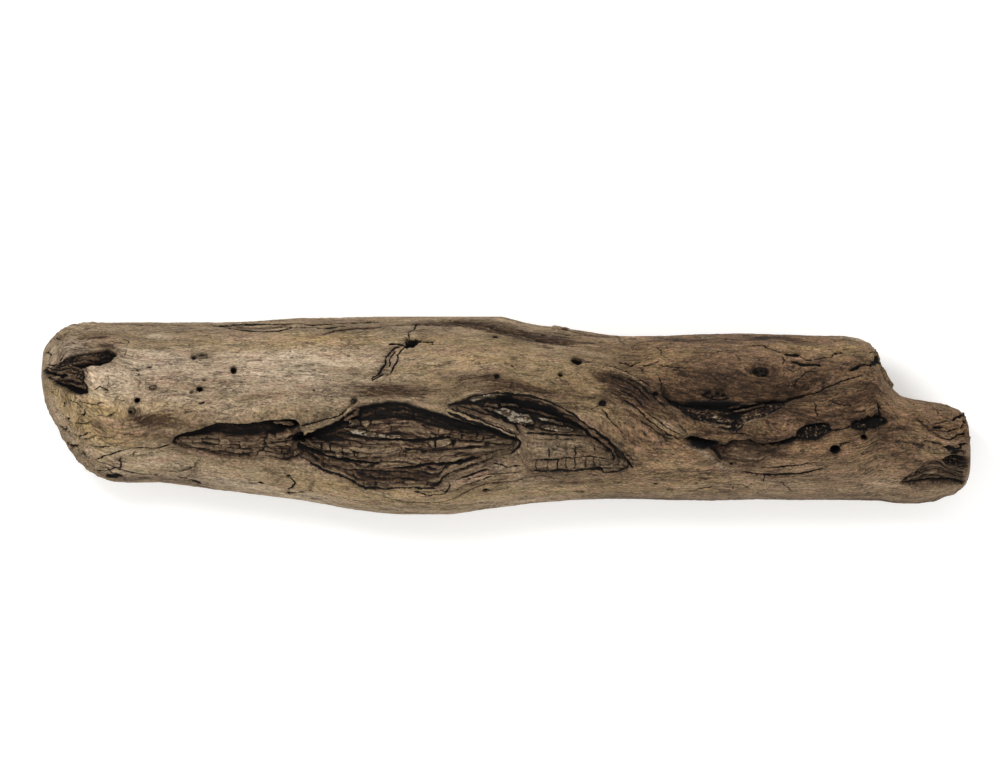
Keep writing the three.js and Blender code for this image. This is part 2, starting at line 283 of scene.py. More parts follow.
def curved(points, perStep=6):
    # The same line with a smooth curve through its points.
    if len(points) < 3:
        return np.asarray(points, float)
    flat = np.column_stack([points, np.zeros(len(points))])
    return smoothCurve(flat, np.linspace(0, 1, perStep * (len(points) - 1) + 1))[:, :2]


# The hollows. Each lies between a near and a far edge that run from its left tip to its right
# one. "shares" are shares of the way from the near edge to the far one. "floor" gives the
# depth at them for several x, and "light" how light the wood is there, from 0 to 1, where the
# lowest values, mostly by the far edge, are painted shade under the lips. "walls" is
# how wide the near and far walls are, "lips" how deep and how wide the skin rolls over them.
# "blocks" is the height and length of the cubes that the wood has cracked into, how strongly,
# and up to which share; "fibres" the strength of the stringy wood, "grit" that of the crumbs.
uncracked = (3, 9, 0.0, 1.0)  # the blocks of wood that has no cubes
hollows = {
    "scarLeft": {
        "near": ((-167, -15), (-163.5, -16.5), (-156, -18), (-148, -19.8), (-141.5, -21.5), (-132.5, -22.5),
                 (-126, -22), (-120.5, -21), (-114.7, -23), (-108, -23.8), (-101, -21)),
        "far": ((-167, -14.6), (-164, -10.5), (-157, -8.7), (-150.5, -6.5), (-144.5, -4.2), (-137, -4.2),
                (-128, -4), (-117, -2.8), (-108, -2), (-104, -3), (-101, -9)),
        "shares": (0, 0.25, 0.5, 0.66, 1), "light": (0.62, 0.66, 0.55, 0.12, 0.04),
        "floor": ((-167, 1, 1.5, 2, 3, 3), (-150, 1.6, 2.2, 3, 7, 7), (-125, 1.8, 2.4, 3.4, 8, 8),
                  (-112, 2, 3, 4.5, 9, 9), (-101, 3, 6, 9, 10, 9)),
        "walls": (0.9, 1.0), "lips": (0.2, 0.8, 0.7, 2.0), "blocks": (2.4, 4.6, 0.7, 0.55),
        "fibres": 0.45, "grit": 0.0,
    },
    "scarMiddle": {
        "near": ((-106, -20), (-99.5, -22), (-90.8, -28.5), (-81.5, -31), (-77, -33.5), (-74.5, -35.5),
                 (-71, -37), (-61, -37.5), (-52, -36), (-43, -36.5), (-34, -36.8), (-31, -33),
                 (-20.5, -28.5), (-11.5, -25.3), (-5, -22), (3, -19), (6.8, -13.4)),
        "far": ((-106, -13), (-96.5, -8), (-90, -5.2), (-84, -1.8), (-80, 1.2), (-73.5, 5), (-65.5, 7),
                (-56.5, 7.8), (-49.5, 7), (-43, 5), (-35, 2.5), (-25, -1), (-18, -3.5), (-5, -7.5), (6.8, -12.5)),
        "shares": (0, 0.2, 0.45, 0.7, 0.86, 1), "light": (0.72, 0.7, 0.68, 0.52, 0.16, 0.06),
        "floor": ((-106, 5, 7, 8, 11, 11, 10), (-90, 3, 4.5, 6, 9, 10, 9), (-75, 2.4, 4, 5, 5.5, 7, 7),
                  (-55, 2, 3.6, 4.6, 4.4, 7, 7), (-30, 2, 3, 4, 4.6, 8, 8), (-12, 2, 3, 3.4, 4.4, 8, 7),
                  (6.8, 2, 3, 4, 5, 6, 5)),
        "walls": (1.2, 1.6), "lips": (0.2, 0.8, 1.6, 3.2), "blocks": (2.8, 7.5, 0.35, 1.0),
        "fibres": 0.95, "grit": 0.1,
    },
    "scarRight": {
        "near": ((-30, 4.8), (-25, 2.5), (-13.5, -2.2), (-2.5, -6.2), (3.4, -10.4), (5, -15), (5.8, -19), (7.6, -22),
                 (10, -25.6), (12.6, -27.8), (19.5, -28.2), (33.5, -28.2), (42.5, -27.2), (48, -28), (56, -28.5),
                 (63.5, -26)),
        "far": ((-30, 6), (-22.5, 8.5), (-15.5, 10.6), (-6.5, 10.6), (1, 11.4), (12, 10), (19.5, 7.7),
                (26.5, 4.2), (33.5, 0.2), (40, -3.9), (46, -9), (52, -13.2), (57, -18.5), (63.5, -25.2)),
        "shares": (0, 0.25, 0.48, 0.62, 0.84, 1), "light": (0.95, 1.0, 0.95, 0.4, 0.16, 0.3),
        "floor": ((-30, 1, 1.5, 2, 2, 2, 2), (-12, 1.5, 2.5, 3, 4, 3, 2), (0, 0.8, 2, 4, 6, 7, 4),
                  (8, 0.3, 0.5, 1.2, 6, 8, 4), (14, 1.2, 1.2, 1.8, 6, 8, 4), (30, 1.3, 1.5, 1.8, 4, 8, 4),
                  (48, 1.5, 1.6, 1.8, 3.5, 5, 3), (63.5, 1.5, 2, 2.5, 3, 3, 2)),
        "walls": (0.8, 1.4), "lips": (0.2, 0.8, 1.4, 3.0), "blocks": (4.5, 11, 0.1, 1.0),
        "fibres": 0.5, "grit": 0.2,
    },
    "upperHollow": {
        "near": ((77, 9.5), (81.5, 5), (86.1, 2), (89.6, -0.5), (92.7, -3.2), (97, -4.9), (102.6, -6.7), (107.8, -8.1),
                 (111.3, -9.8), (114.2, -9.5), (117, -6.7), (121.9, -4.2), (129.5, -1.8), (136.5, 2), (142, 6.4),
                 (150, 9.4), (160, 13)),
        "far": ((77, 10.5), (83, 8.6), (89.5, 7.6), (100, 7.4), (112, 7.4), (127.5, 8.8), (134, 9.7),
                (138.5, 8.8), (145.5, 9.8), (154.3, 11.8), (160, 13.5)),
        "shares": (0, 0.3, 0.6, 0.8, 1), "light": (0.6, 0.44, 0.34, 0.08, 0.0),
        "floor": ((77, 3, 4, 5, 6, 5), (92, 2.5, 4.5, 6, 9, 10), (105, 2, 3.6, 6, 10, 12), (114, 4, 10, 13, 13, 12),
                  (124, 2, 5, 8, 12, 12), (136, 2, 3, 5, 9, 8), (146, 1, 2, 3, 4, 3), (160, 1, 1, 1.5, 1.5, 1.5)),
        "walls": (1.8, 2.0), "lips": (0.6, 2.0, 2.6, 6.0), "blocks": (2.4, 9, 0.2, 0.4),
        "fibres": 0.6, "grit": 0.7,
    },
    "lowerHollow": {
        "near": ((88, -12.6), (92, -14.7), (97, -16.5), (101.2, -18.6), (104.3, -21.4), (109.6, -26), (117, -27.2),
                 (125, -26.5), (132, -23.5), (136.5, -19), (140, -15.6), (147, -10.6)),
        "far": ((88, -11.6), (91.7, -10.3), (97, -11), (105, -13.4), (108, -14.6), (113, -12.6), (121.5, -12.4),
                (127.5, -14), (134, -13.6), (142, -11.6), (147, -8.8)),
        "shares": (0, 0.3, 0.6, 0.85, 1), "light": (0.6, 0.52, 0.5, 0.3, 0.0),
        "floor": ((88, 4, 7, 8, 8, 7), (98, 6, 9, 10, 10, 9), (108, 1.2, 3.4, 5.6, 8, 8), (116, 0.4, 1.8, 3.4, 5, 7),
                  (128, 0.4, 1.6, 3.4, 5, 7), (138, 0.8, 2, 4, 5, 5), (147, 2, 3, 4, 4, 4)),
        "walls": (2.6, 0.9), "lips": (0.4, 1.2, 0.4, 1.4), "blocks": uncracked,
        "fibres": 0.16, "grit": 0.16,
    },
    "nearPocket": {
        "near": ((144.6, -10.4), (146.2, -12.9), (152, -13.5), (157.4, -12.2), (161.8, -9), (164, -7.8)),
        "far": ((144.6, -9), (147, -6.6), (149.3, -4.8), (153.8, -3.9), (161.2, -3.7), (162, -6), (164, -7.2)),
        "shares": (0, 0.5, 1), "light": (0.34, 0.26, 0.04),
        "floor": ((145, 3, 4, 4), (154, 3.5, 5, 7), (164, 3, 4, 4)),
        "walls": (1.2, 1.0), "lips": (0.3, 1.2, 0.3, 1.2), "blocks": uncracked,
        "fibres": 0.0, "grit": 0.9,
    },
    "farPocket": {
        "near": ((171.5, -6.4), (175, -8), (179, -8.2), (184, -6.8), (188.5, -5.6), (190.8, -4)),
        "far": ((171.5, -4.6), (174, -2), (178, -0.8), (183, 0.4), (187.5, 0.2), (190.8, -2)),
        "shares": (0, 0.5, 1), "light": (0.34, 0.2, 0.02),
        "floor": ((171.5, 3, 3, 4), (181, 4, 5, 8), (190.5, 3, 4, 4)),
        "walls": (0.8, 0.8), "lips": (0.3, 1.2, 0.3, 1.2), "blocks": uncracked,
        "fibres": 0.0, "grit": 0.85,
    },
    "leftPitFar": {
        "near": ((-224.5, 25), (-221, 23.4), (-216.5, 22), (-212, 22.6), (-208.5, 24.4), (-205, 24.8),
                 (-201, 25.2), (-197, 27.2), (-193.6, 31)),
        "far": ((-224.5, 26.5), (-221, 29.4), (-215, 31.6), (-209, 33), (-204, 34), (-198.5, 34.6), (-193.6, 32.4)),
        "shares": (0, 0.25, 0.5, 0.75, 1), "light": (0.06, 0.04, 0.3, 0.3, 0.12),
        "floor": ((-224.5, 1.5, 2, 2, 2, 2), (-215, 3, 5, 4, 3.4, 2.6), (-205, 6, 7.5, 4.5, 4.4, 3),
                  (-193.6, 4, 6, 6, 5, 4)),
        "walls": (0.9, 1.6), "lips": (0.3, 1.0, 1.2, 3.2), "blocks": uncracked,
        "fibres": 0.8, "grit": 0.4,
    },
    "leftPitMiddle": {
        "near": ((-230, 18.6), (-224, 15.5), (-218, 14), (-212, 14), (-209.8, 16.5)),
        "far": ((-230, 20), (-225, 24.4), (-220, 27), (-214, 25.4), (-209.8, 21)),
        "shares": (0, 0.5, 1), "light": (0.5, 0.62, 0.42),
        "floor": ((-230, 1, 1.4, 1), (-221, 2.4, 1.8, 2.4), (-209.5, 3, 3.0, 3)),
        "walls": (1.2, 1.2), "lips": (0.2, 1.0, 0.2, 1.0), "blocks": uncracked,
        "fibres": 0.8, "grit": 0.8,
    },
    "leftPitNear": {
        "near": ((-227.5, 17), (-224, 13.6), (-220.5, 11.6), (-216.5, 10.4), (-212, 10), (-207.8, 11)),
        "far": ((-227.5, 18), (-222, 18.5), (-216, 18.5), (-212, 18), (-209.4, 15.5), (-207.8, 12)),
        "shares": (0, 0.3, 0.6, 1), "light": (0.0, 0.05, 0.3, 0.4),
        "floor": ((-227.5, 3, 3, 2, 2), (-219, 8, 8, 4.5, 3), (-212, 7, 7.5, 4.5, 3), (-207.8, 4, 4, 3, 3)),
        "walls": (0.9, 0.9), "lips": (0.5, 2.0, 0.2, 1.0), "blocks": uncracked,
        "fibres": 0.4, "grit": 0.5,
    },
    "endPocket": {
        "near": ((217.5, -23), (221, -25.6), (226, -26.6), (231.5, -26.5)),
        "far": ((217.5, -22), (222, -20.2), (227, -19.6), (231.5, -20)),
        "shares": (0, 0.5, 1), "light": (0.34, 0.2, 0.16),
        "floor": ((217.5, 2, 3, 3), (226, 4, 5, 5), (231.5, 3, 4, 4)),
        "walls": (1.0, 1.0), "lips": (0.3, 1.4, 0.6, 2.4), "blocks": uncracked,
        "fibres": 0.5, "grit": 0.8,
    },
    "endSplit": {
        "near": ((196, -34.6), (203, -35.6), (212, -35.2), (222, -34.6), (230, -33.6)),
        "far": ((196, -34.1), (201, -30.5), (205.5, -27.5), (210.5, -23), (216, -22.4), (222, -26.4), (230, -27)),
        "shares": (0, 0.16, 0.5, 1), "light": (0.08, 0.4, 0.66, 0.7),
        "floor": ((196, 1.5, 1.5, 1, 1), (205, 3, 2.6, 1.8, 1), (217, 3.5, 3, 2, 1), (230, 3, 2.5, 1.6, 1)),
        "walls": (0.8, 1.2), "lips": (0.2, 0.8, 0.3, 2.0), "blocks": uncracked,
        "fibres": 1.0, "grit": 0.0,
    },
}

# Planks, ribs and flakes that stand up from what is around them: the points of the middle
# line, width, height, and how light their tops are. Above 1 they have a chalky crust, and
# below 0 they keep the look of the skin.
planks = (
    # in the left lobe of the scar
    (((-114, -11.4), (-109, -10), (-103, -7.2), (-96, -4.8), (-89, -2), (-83, 0.8)), 3.4, 9.0, 0.48),
    (((-116, -4.4), (-111, -4.6), (-106, -5.4)), 2.0, 5.0, 0.55),
    (((-131.5, -16), (-122.5, -16.4)), 2.6, 1.2, 0.7), (((-117, -13.4), (-109, -14.2)), 5.0, 3.0, 0.5),
    (((-160, -15.2), (-150, -17), (-140, -18.6), (-128, -19.4)), 1.6, 0.6, 0.75),
    # in the middle lobe
    (((-80.5, -2.4), (-77.5, 0.2), (-74.6, 2.6)), 4.6, 4.5, 0.5),
    (((-77.5, -4.6), (-74.6, -4)), 2.8, 2.4, 1.3), (((-71.6, -4.3), (-70.4, -4.3)), 2.6, 1.6, 0.7),
    (((-66, 4.4), (-58, 2.8), (-50, -0.6), (-44, -3.6)), 0.9, 0.5, 0.42),
    (((-68, -4), (-58, -3.4), (-48, -4.8), (-40, -7.6)), 2.6, 0.7, 0.62),
    (((-70, -7.6), (-60, -7), (-50, -8.4), (-40, -10.4)), 2.6, 0.6, 0.6),
    (((-56, 6), (-48, 3), (-38, -1.8), (-28, -5.6)), 0.9, 0.5, 0.36),
    (((-81.3, -8.1), (-74.8, -9.2), (-67.7, -10.4), (-53, -12)), 1.7, 1.2, 1.5),
    (((-60, -16.4), (-52, -17), (-42, -16.4)), 1.6, 0.9, 0.6),
    (((-86, -11.6), (-76, -13.6), (-66, -15.8)), 1.6, 1.2, 0.5),
    (((-101, -14.8), (-92.7, -17.3), (-82.2, -20.3), (-75.5, -21.6)), 3.8, 2.4, 0.78),
    (((-74.8, -22.6), (-68.3, -19.9), (-61.8, -18.6)), 2.0, 1.2, 0.78),
    (((-60, -22.6), (-48, -22.4), (-36, -21.4), (-26, -20)), 1.5, 0.5, 0.66),
    (((-49.5, -20.3), (-46, -20), (-42.5, -20)), 2.2, 1.0, 0.8),
    (((-37.8, -14.8), (-33, -14.6), (-28.4, -14.4)), 4.6, 1.6, 0.9),
    (((-26, -10.6), (-13, -12.6)), 3.2, 1.6, 0.42), (((-24, -15.4), (-12, -15.8)), 2.4, 1.2, 0.55),
    (((-10, -12.5), (2, -14.5)), 2.6, 1.6, 0.5), (((-24, -19.2), (-12, -18.6), (-2, -17.6)), 1.5, 0.8, 0.62),
    (((-92, -25.4), (-78, -28), (-64, -29), (-50, -29.6)), 1.5, 0.6, 0.62),
    (((-74, -32.6), (-62, -34), (-48, -33.6), (-36, -32)), 4.0, 0.6, 0.5),
    (((-50, -34.6), (-40.5, -34.8)), 1.9, 1.0, 0.72),
    (((-68, -34.4), (-60, -34.8), (-53, -34.2)), 1.4, 0.4, 0.6),
    (((-44, -24.4), (-32, -23.4), (-20, -21.8)), 1.4, 0.6, 0.66),
    (((-29.5, -31.6), (-20, -28.4), (-11.5, -25)), 3.0, 0.8, 0.9),
    (((-63, -39.6), (-50, -41), (-36, -40.6)), 3.6, 0.5, -1),
    (((-4.2, -25.4), (-3.8, -25.6)), 5.8, 0.9, -1), (((-114.5, -24.4), (-106, -25.4), (-99.5, -27.6)), 3.0, 0.5, 0.8),
    # in the right lobe
    (((-18, 7.6), (-12.3, 9.2), (-5, 9.4)), 1.9, 1.4, 1.55),
    (((-5, 2.2), (1, 0.6), (7, -1.4), (13.5, -3.9)), 4.4, 3.4, 1.5),
    (((17, -1.8), (22.2, -3), (29.1, -5.3)), 1.4, 2.2, 1.6), (((18.4, -6.4), (25.6, -7), (34, -8.2)), 2.6, 2.8, 1.65),
    (((-1.4, 5.4), (6.7, 5.2)), 1.2, 3.0, 1.2), (((9, 4), (18, 1.4), (26, -1.6)), 1.4, 2.2, 0.35),
    (((28, 0.2), (37.1, -4.1), (45.1, -11), (50.9, -16.2), (54.3, -21.7), (56, -24.6)), 2.2, 2.2, 0.5),
    (((-24, 4), (-12, -0.4), (0, -4.6), (6, -9)), 1.8, 2.0, 0.75), (((-10, 6), (-4, 4.6)), 1.2, 1.4, 0.6),
    (((46, -25.4), (53, -26)), 2.0, 0.8, 1.2), (((12, -8.6), (20, -9.6), (30, -9.8)), 1.2, 1.0, 0.7),
    # in the right hollows
    (((110, 5.2), (118, 6.2), (129, 7)), 1.5, 4.0, 0.4), (((113.5, 2.2), (121, 4), (131, 6.6)), 1.7, 4.4, 0.32),
    (((94, -3), (103, -5), (112, -6.6)), 1.5, 1.4, 0.6), (((97, -5.6), (105, -7.2), (113, -8.4)), 1.2, 1.0, 0.72),
    (((97, -8.4), (104, -10.6), (112, -10.8)), 1.8, 0.8, -1),
    (((98.7, -11.9), (105, -14.2), (109.6, -13)), 1.2, 0.8, -1),
    # on the skin
    (((49, 22.4), (58, 21.2), (65.5, 17), (73.5, 9)), 2.4, 1.3, -1), (((73.5, 0), (82, -5.4), (91, -11)), 2.6, 0.9, -1),
    (((76.6, -2.6), (81.5, -5.6), (90.3, -8.4)), 1.6, 0.9, -1), (((78, 3.4), (85, 0.2), (91, -2.6)), 3.2, 0.7, -1),
    (((96, -17.4), (101.2, -19.6), (104.3, -22.4), (109.6, -27)), 1.6, 0.8, -1),
    (((129.7, -2.8), (133.7, -6.6)), 2.2, 0.8, -1), (((120, -9.6), (130, -10.8), (141, -8.4)), 2.4, 0.8, -1),
    (((-214, 28.6), (-208, 29.8), (-202, 30)), 1.1, 2.4, 0.5),
    (((-217, 26.4), (-210, 28), (-203.5, 28)), 0.9, 1.8, 0.42),
    (((-216, 24.2), (-210.4, 22.6)), 2.0, 1.6, 0.3), (((-220.6, 18.6), (-216, 18), (-212.2, 16.6)), 1.2, 1.2, 0.42),
    (((-218.6, 15.6), (-212.2, 14.4)), 1.0, 1.4, 0.4), (((-204, 22), (-203, 16), (-205, 13)), 9.0, 0.5, -1),
    # broken fibres of the right end
    (((213, -5.6), (220, -6), (229, -5)), 1.6, 1.3, -1), (((215, -9), (222, -10.4), (231, -9.4)), 1.5, 1.4, -1),
    (((217, -13), (224, -14.4), (231.4, -13.4)), 1.6, 1.5, -1),
    (((212, -16.6), (220, -17.2), (229, -16.6)), 1.4, 1.0, -1),
    (((203, 2), (207.5, -2), (213, -7)), 2.2, 0.9, -1), (((219, 0.6), (225, 0.2), (230, -0.6)), 1.8, 1.0, -1),
    # knobs that show in the outline
    (((187, 22.4), (190, 19.8), (191.4, 17)), 6.0, 1.6, -1), (((24, 43.8), (27, 43.4), (30.5, 43)), 9.0, 1.0, -1),
    (((227.5, 0), (229.4, -2.4), (231, -5)), 5.0, 1.2, -1), (((230.8, -12), (231.6, -14.4)), 4.0, 1.2, -1),
)

# Cracks, grooves and creases: the points, width, depth, and the strength of the dark in them,
# which is painted shade with dirt.
cracks = (
    # left end
    (((-232, 20.9), (-227.6, 20.5), (-223.5, 19.7), (-219, 20.2)), 2.2, 3.2, 1.0),
    (((-230, 24), (-225, 22.6), (-219, 23.6)), 1.2, 1.2, 0.8),
    (((-228.3, 36.4), (-225.7, 38.2), (-221.2, 36.9)), 0.7, 1.0, 0.8),
    (((-231.5, 29.6), (-227.6, 29.8), (-224.4, 30.7)), 0.7, 1.0, 0.8),
    (((-209.6, 26.2), (-205, 26.4), (-200.6, 26.4)), 1.8, 2.0, 1.0), (((-224, 27), (-219.5, 32.8)), 0.6, 0.8, 0.6),
    (((-200.2, 39), (-206.6, 38.7), (-210.3, 37.7)), 0.6, 0.7, 0.7),
    (((-197.3, 37.7), (-194.5, 36.8), (-190, 35.8)), 0.6, 0.7, 0.7),
    (((-220.3, 6.8), (-220.3, 3.9)), 0.6, 0.8, 0.8), (((-210.4, 3.3), (-210.2, 1.4), (-211.7, -0.2)), 0.6, 0.8, 0.8),
    (((-224.4, -5.2), (-219.4, -5.8)), 1.6, 3.0, 0.7), (((-220, -13.2), (-213, -14.8)), 1.5, 2.8, 0.7),
    (((-224, 33), (-216, 36), (-208, 36.2)), 0.6, 0.6, 0.5),
    (((-229, 25.4), (-226, 24.4), (-224.6, 26)), 0.8, 1.0, 0.8),
    (((-178, -29), (-172.6, -31.4)), 1.2, 1.4, 0.9), (((-205, -25), (-199, -26.6), (-196, -30)), 0.7, 0.9, 0.7),
    (((-196, 8.4), (-190, 6.8), (-187, 4.4)), 0.5, 0.5, 0.5), (((-222, 12.6), (-219, 9), (-217, 4)), 0.5, 0.6, 0.5),
    (((-205, -12.6), (-193, -9.4), (-182, -10)), 0.5, 0.5, 0.45), (((-199, -15.4), (-187, -12.8)), 0.5, 0.5, 0.45),
    (((-223, 10), (-220, 8)), 0.8, 1.0, 0.8), (((-191, 38.5), (-188, 37), (-190.3, 35)), 0.5, 0.5, 0.6),
    (((-188.8, 33.5), (-191, 30.5), (-186.6, 29), (-185.5, 31.2)), 0.5, 0.4, 0.5),
    (((-205.7, 12.2), (-202.7, 14), (-198, 11.8)), 0.6, 0.9, 0.8),
    (((-218.5, -13.5), (-214, -15.2)), 1.0, 1.4, 0.9), (((-218.5, -0.5), (-218, -5.5)), 0.6, 0.8, 0.8),
    (((-210.5, 2.5), (-210.5, -1)), 0.5, 0.5, 0.5),
    (((-165.5, -14.6), (-173, -17), (-187.5, -18), (-193, -19.5), (-200, -21), (-206, -22)), 0.7, 1.1, 0.75),
    (((-191.5, -21.5), (-193.5, -23.3), (-192.2, -24.5), (-192.2, -26.5), (-196.7, -27), (-206.5, -27)), 0.6, 1.0, 0.9),
    (((-187, -21.5), (-185, -20), (-183.3, -20.5)), 0.5, 0.5, 0.6),
    (((-212, -12), (-205, -10.8), (-199, -11.5)), 0.5, 0.5, 0.5), (((-213, -9), (-206, -8.4)), 0.5, 0.4, 0.4),
    (((-168, -17), (-160, -19.5), (-153, -22), (-155.7, -27.5), (-161, -32.3)), 1.8, 0.6, 0.3),
    (((-166, -31), (-160, -32.4), (-151.5, -35)), 2.4, 1.6, 0.8),
    (((-199.5, -31.4), (-195.5, -31.2), (-191, -30.4)), 6.5, 3.2, 0.95),
    (((-206, -22.4), (-200, -24.6), (-192, -27.6), (-182, -29.6), (-170, -30.4)), 1.6, 0.8, 0.55),
    (((-172, -28), (-164, -28.6), (-156, -26.4), (-153.6, -22)), 1.2, 0.6, 0.5),
    (((-219, 8), (-214, 6.4), (-211, 3.6)), 0.7, 0.8, 0.7), (((-216, -3), (-210, -4.6), (-206, -3)), 0.7, 0.8, 0.6),
    (((-213, 6.8), (-206, 5.2), (-200, 6.4)), 0.7, 0.8, 0.6),
    (((-206, 0.6), (-199, -0.8), (-194, 1.4)), 0.7, 0.8, 0.55),
    (((-217, -9), (-211, -10.4), (-208, -9)), 0.7, 0.8, 0.65),
    (((-208, -15.6), (-200, -16.8), (-193, -16)), 0.7, 0.8, 0.6),
    (((-203, 3.4), (-201, 0.8)), 0.7, 0.8, 0.6), (((-212, -6.6), (-209, -9.4)), 0.7, 0.8, 0.6),
    (((-198, -4.6), (-195.6, -7)), 0.7, 0.7, 0.5),
    # above the scar
    (((-168, 20), (-160, 22.5)), 0.5, 0.4, 0.4), (((-164, 14.5), (-160.3, 15)), 0.5, 0.3, 0.4),
    (((-153.5, 5.5), (-150.5, 6.5)), 0.6, 0.6, 0.7), (((-115, 22.3), (-111, 22.5)), 0.5, 0.3, 0.4),
    (((-111, 20), (-105.8, 20.7)), 0.9, 0.5, 0.5), (((-131.5, 15.5), (-126, 15)), 0.4, 0.3, 0.3),
    (((-150, 44.4), (-130.5, 45), (-117, 45.4), (-100, 45.9)), 2.4, 1.2, 1.0),
    (((-143, 44.1), (-133.5, 42.6), (-123.5, 42.1), (-112.5, 42.6), (-103.5, 44.8)), 1.3, 1.0, 0.95),
    (((-105.5, 45.6), (-94.5, 45.1), (-80, 46), (-62, 46.6)), 1.4, 0.9, 0.8),
    (((-118, 44), (-106, 44.2), (-90, 43.4), (-78, 44.6)), 1.0, 0.8, 0.7),
    (((-199, 45.3), (-184, 45.5), (-168, 45.3)), 2.2, 1.2, 1.0),
    (((-95, 39.5), (-85, 42), (-73.5, 42.8), (-64, 43)), 1.1, 0.7, 0.7),
    (((-58, 45), (-44, 45.4), (-30, 45)), 1.0, 0.7, 0.6),
    (((-40.5, 47), (-18, 46), (-10, 44.5), (-2.5, 42.5), (6.5, 41), (17.5, 37.5), (29, 36), (38, 34.5)), 2.2, 1.2, 0.4),
    (((-26, 45), (-12, 43.4), (2, 40.6), (14, 38.6)), 0.8, 0.6, 0.5),
    (((2, 43.4), (14, 40.8), (26, 38.8), (38, 38.4)), 0.8, 0.6, 0.6),
    (((20, 41.8), (30, 40), (42, 39.6), (52, 39)), 0.8, 0.6, 0.6),
    (((-30, 46), (-21, 45)), 1.0, 0.6, 0.5), (((33.5, 41.5), (43, 39.8)), 1.0, 1.4, 1.0),
    # the gash and its branches
    (((-51, 38), (-46, 37.6), (-41, 37.2)), 1.5, 4.0, 1.0), (((-51, 33.6), (-47.4, 35), (-44, 37)), 3.0, 4.5, 1.0),
    (((-47, 36), (-42, 36.8), (-35.4, 36.4)), 1.6, 3.0, 1.0),
    (((-48.5, 38), (-48.8, 41), (-46, 42.5), (-44, 47)), 0.6, 0.9, 0.8),
    (((-50.6, 34.5), (-54, 34.8), (-58.5, 34.8)), 1.2, 1.2, 0.9),
    (((-50, 36.6), (-44, 37.2), (-36, 36.2)), 1.2, 3.0, 1.0),
    (((-51, 34), (-56, 32.8), (-59.5, 28.5), (-60.5, 24.3), (-64, 19.5), (-67, 18), (-66.5, 17), (-61, 19.5),
      (-57.8, 19.5)), 1.0, 1.4, 0.95), (((-55, 31.6), (-57.6, 27), (-58.4, 23)), 0.8, 1.2, 0.8),
    (((-50, 33.5), (-52.5, 31), (-54, 29.5), (-53.7, 26.5), (-56, 24), (-57, 21), (-57.8, 19.5)), 0.9, 1.4, 0.9),
    (((-57.5, 18.5), (-57.8, 15.5)), 0.4, 0.4, 0.4), (((-36.5, 36), (-37, 34.5)), 0.5, 0.6, 0.7),
    # in and around the scar
    (((-103, -5.6), (-96.5, -4), (-90, -2.4), (-84, -0.4), (-79.5, 2.2)), 0.6, 0.8, 0.8),
    (((-105.5, -17), (-99.7, -19.4), (-89.4, -23.4), (-81.3, -24.9), (-71.5, -26), (-62.5, -27)), 2.2, 2.6, 1.0),
    (((-68.3, -14.1), (-59.6, -13.5), (-48.8, -14.1), (-37.9, -13.3), (-27.1, -11.9)), 1.2, 1.8, 1.0),
    (((-56, -29), (-45.5, -28.2), (-40, -26.5), (-32.5, -26.3), (-18, -23.8), (-12, -22)), 1.6, 2.0, 1.0),
    (((-40.5, -19.4), (-20.5, -17.6), (-5, -16.6)), 0.9, 1.0, 0.6), (((-63, 3), (-52, 3.6), (-42, 2)), 0.8, 0.6, 0.4),
    (((-66, -2.2), (-56, -0.8), (-44, -2.4)), 0.6, 0.6, 0.4), (((-70, -5.6), (-58, -4.2), (-44, -4.8)), 0.6, 0.6, 0.4),
    (((-30, 1.8), (-20, -2.6), (-8, -7), (3, -11)), 1.6, 1.8, 1.0),
    (((-62, -20.6), (-50, -18.6), (-38, -18.4)), 0.7, 0.7, 0.5),
    (((-90, -27), (-78, -29.8), (-66, -30.4), (-50, -30.6)), 0.7, 0.8, 0.5),
    (((-72, -33), (-58, -33.2), (-44, -32.8)), 0.7, 0.8, 0.5),
    (((-14.5, -9.4), (-14.2, -13)), 0.7, 1.2, 0.9), (((-35.4, -13.2), (-35, -17.8)), 0.7, 1.2, 0.9),
    (((-22, -9.6), (-21.6, -13)), 0.6, 1.0, 0.8), (((-26.6, -13.6), (-26.4, -17.4)), 0.6, 1.0, 0.8),
    (((-53.5, -16), (-53, -18.4)), 0.5, 0.8, 0.7), (((-47, 1.6), (-46.6, -2)), 0.5, 0.8, 0.7),
    (((-58, -6), (-57.5, -9)), 0.5, 0.8, 0.7),
    (((-93, -15.4), (-92.4, -19.2)), 0.6, 1.2, 0.9), (((-88.4, -16.4), (-87.6, -20.6)), 0.6, 1.2, 0.9),
    (((-82.6, -18), (-81.8, -22)), 0.6, 1.2, 0.9), (((-76.6, -19.6), (-75.8, -23.4)), 0.6, 1.2, 0.9),
    (((2, -10.6), (6.3, -13.1), (6.7, -14.9), (4.4, -17.7), (2.1, -19.6)), 1.3, 1.6, 1.0),
    (((-46.6, -38.5), (-37.9, -40.1), (-30.9, -39.6), (-27.6, -36.3)), 0.6, 0.8, 0.8),
    (((-105, -20.6), (-99.5, -22.6), (-90.8, -28.6), (-81.5, -31.2), (-77, -33.6), (-74.5, -35.6), (-71, -37.2),
      (-61, -37.6), (-52, -36.6), (-43, -36.8), (-33, -36.8)), 0.9, 1.3, 1.0),
    (((-33, -37), (-30, -38.6), (-28.5, -35.6), (-28.8, -33)), 0.9, 1.0, 0.8),
    (((-47, -38.4), (-40, -38.6), (-31, -37.6)), 0.5, 0.6, 0.6),
    (((-64, -38.5), (-58, -42), (-47.5, -44), (-35.5, -44), (-28, -43), (-19, -38), (-9.3, -34.5), (4, -33.5),
      (15.5, -29.8)), 1.2, 0.9, 0.5), (((-22, -33.6), (-12, -30.4), (0, -29.4), (9, -28.4)), 1.0, 0.8, 0.5),
    (((-26, -33), (-18, -30), (-8.5, -26.8)), 1.5, 1.2, 0.75), (((-27, -38), (-16, -33.4), (-6, -31)), 1.0, 0.9, 0.6),
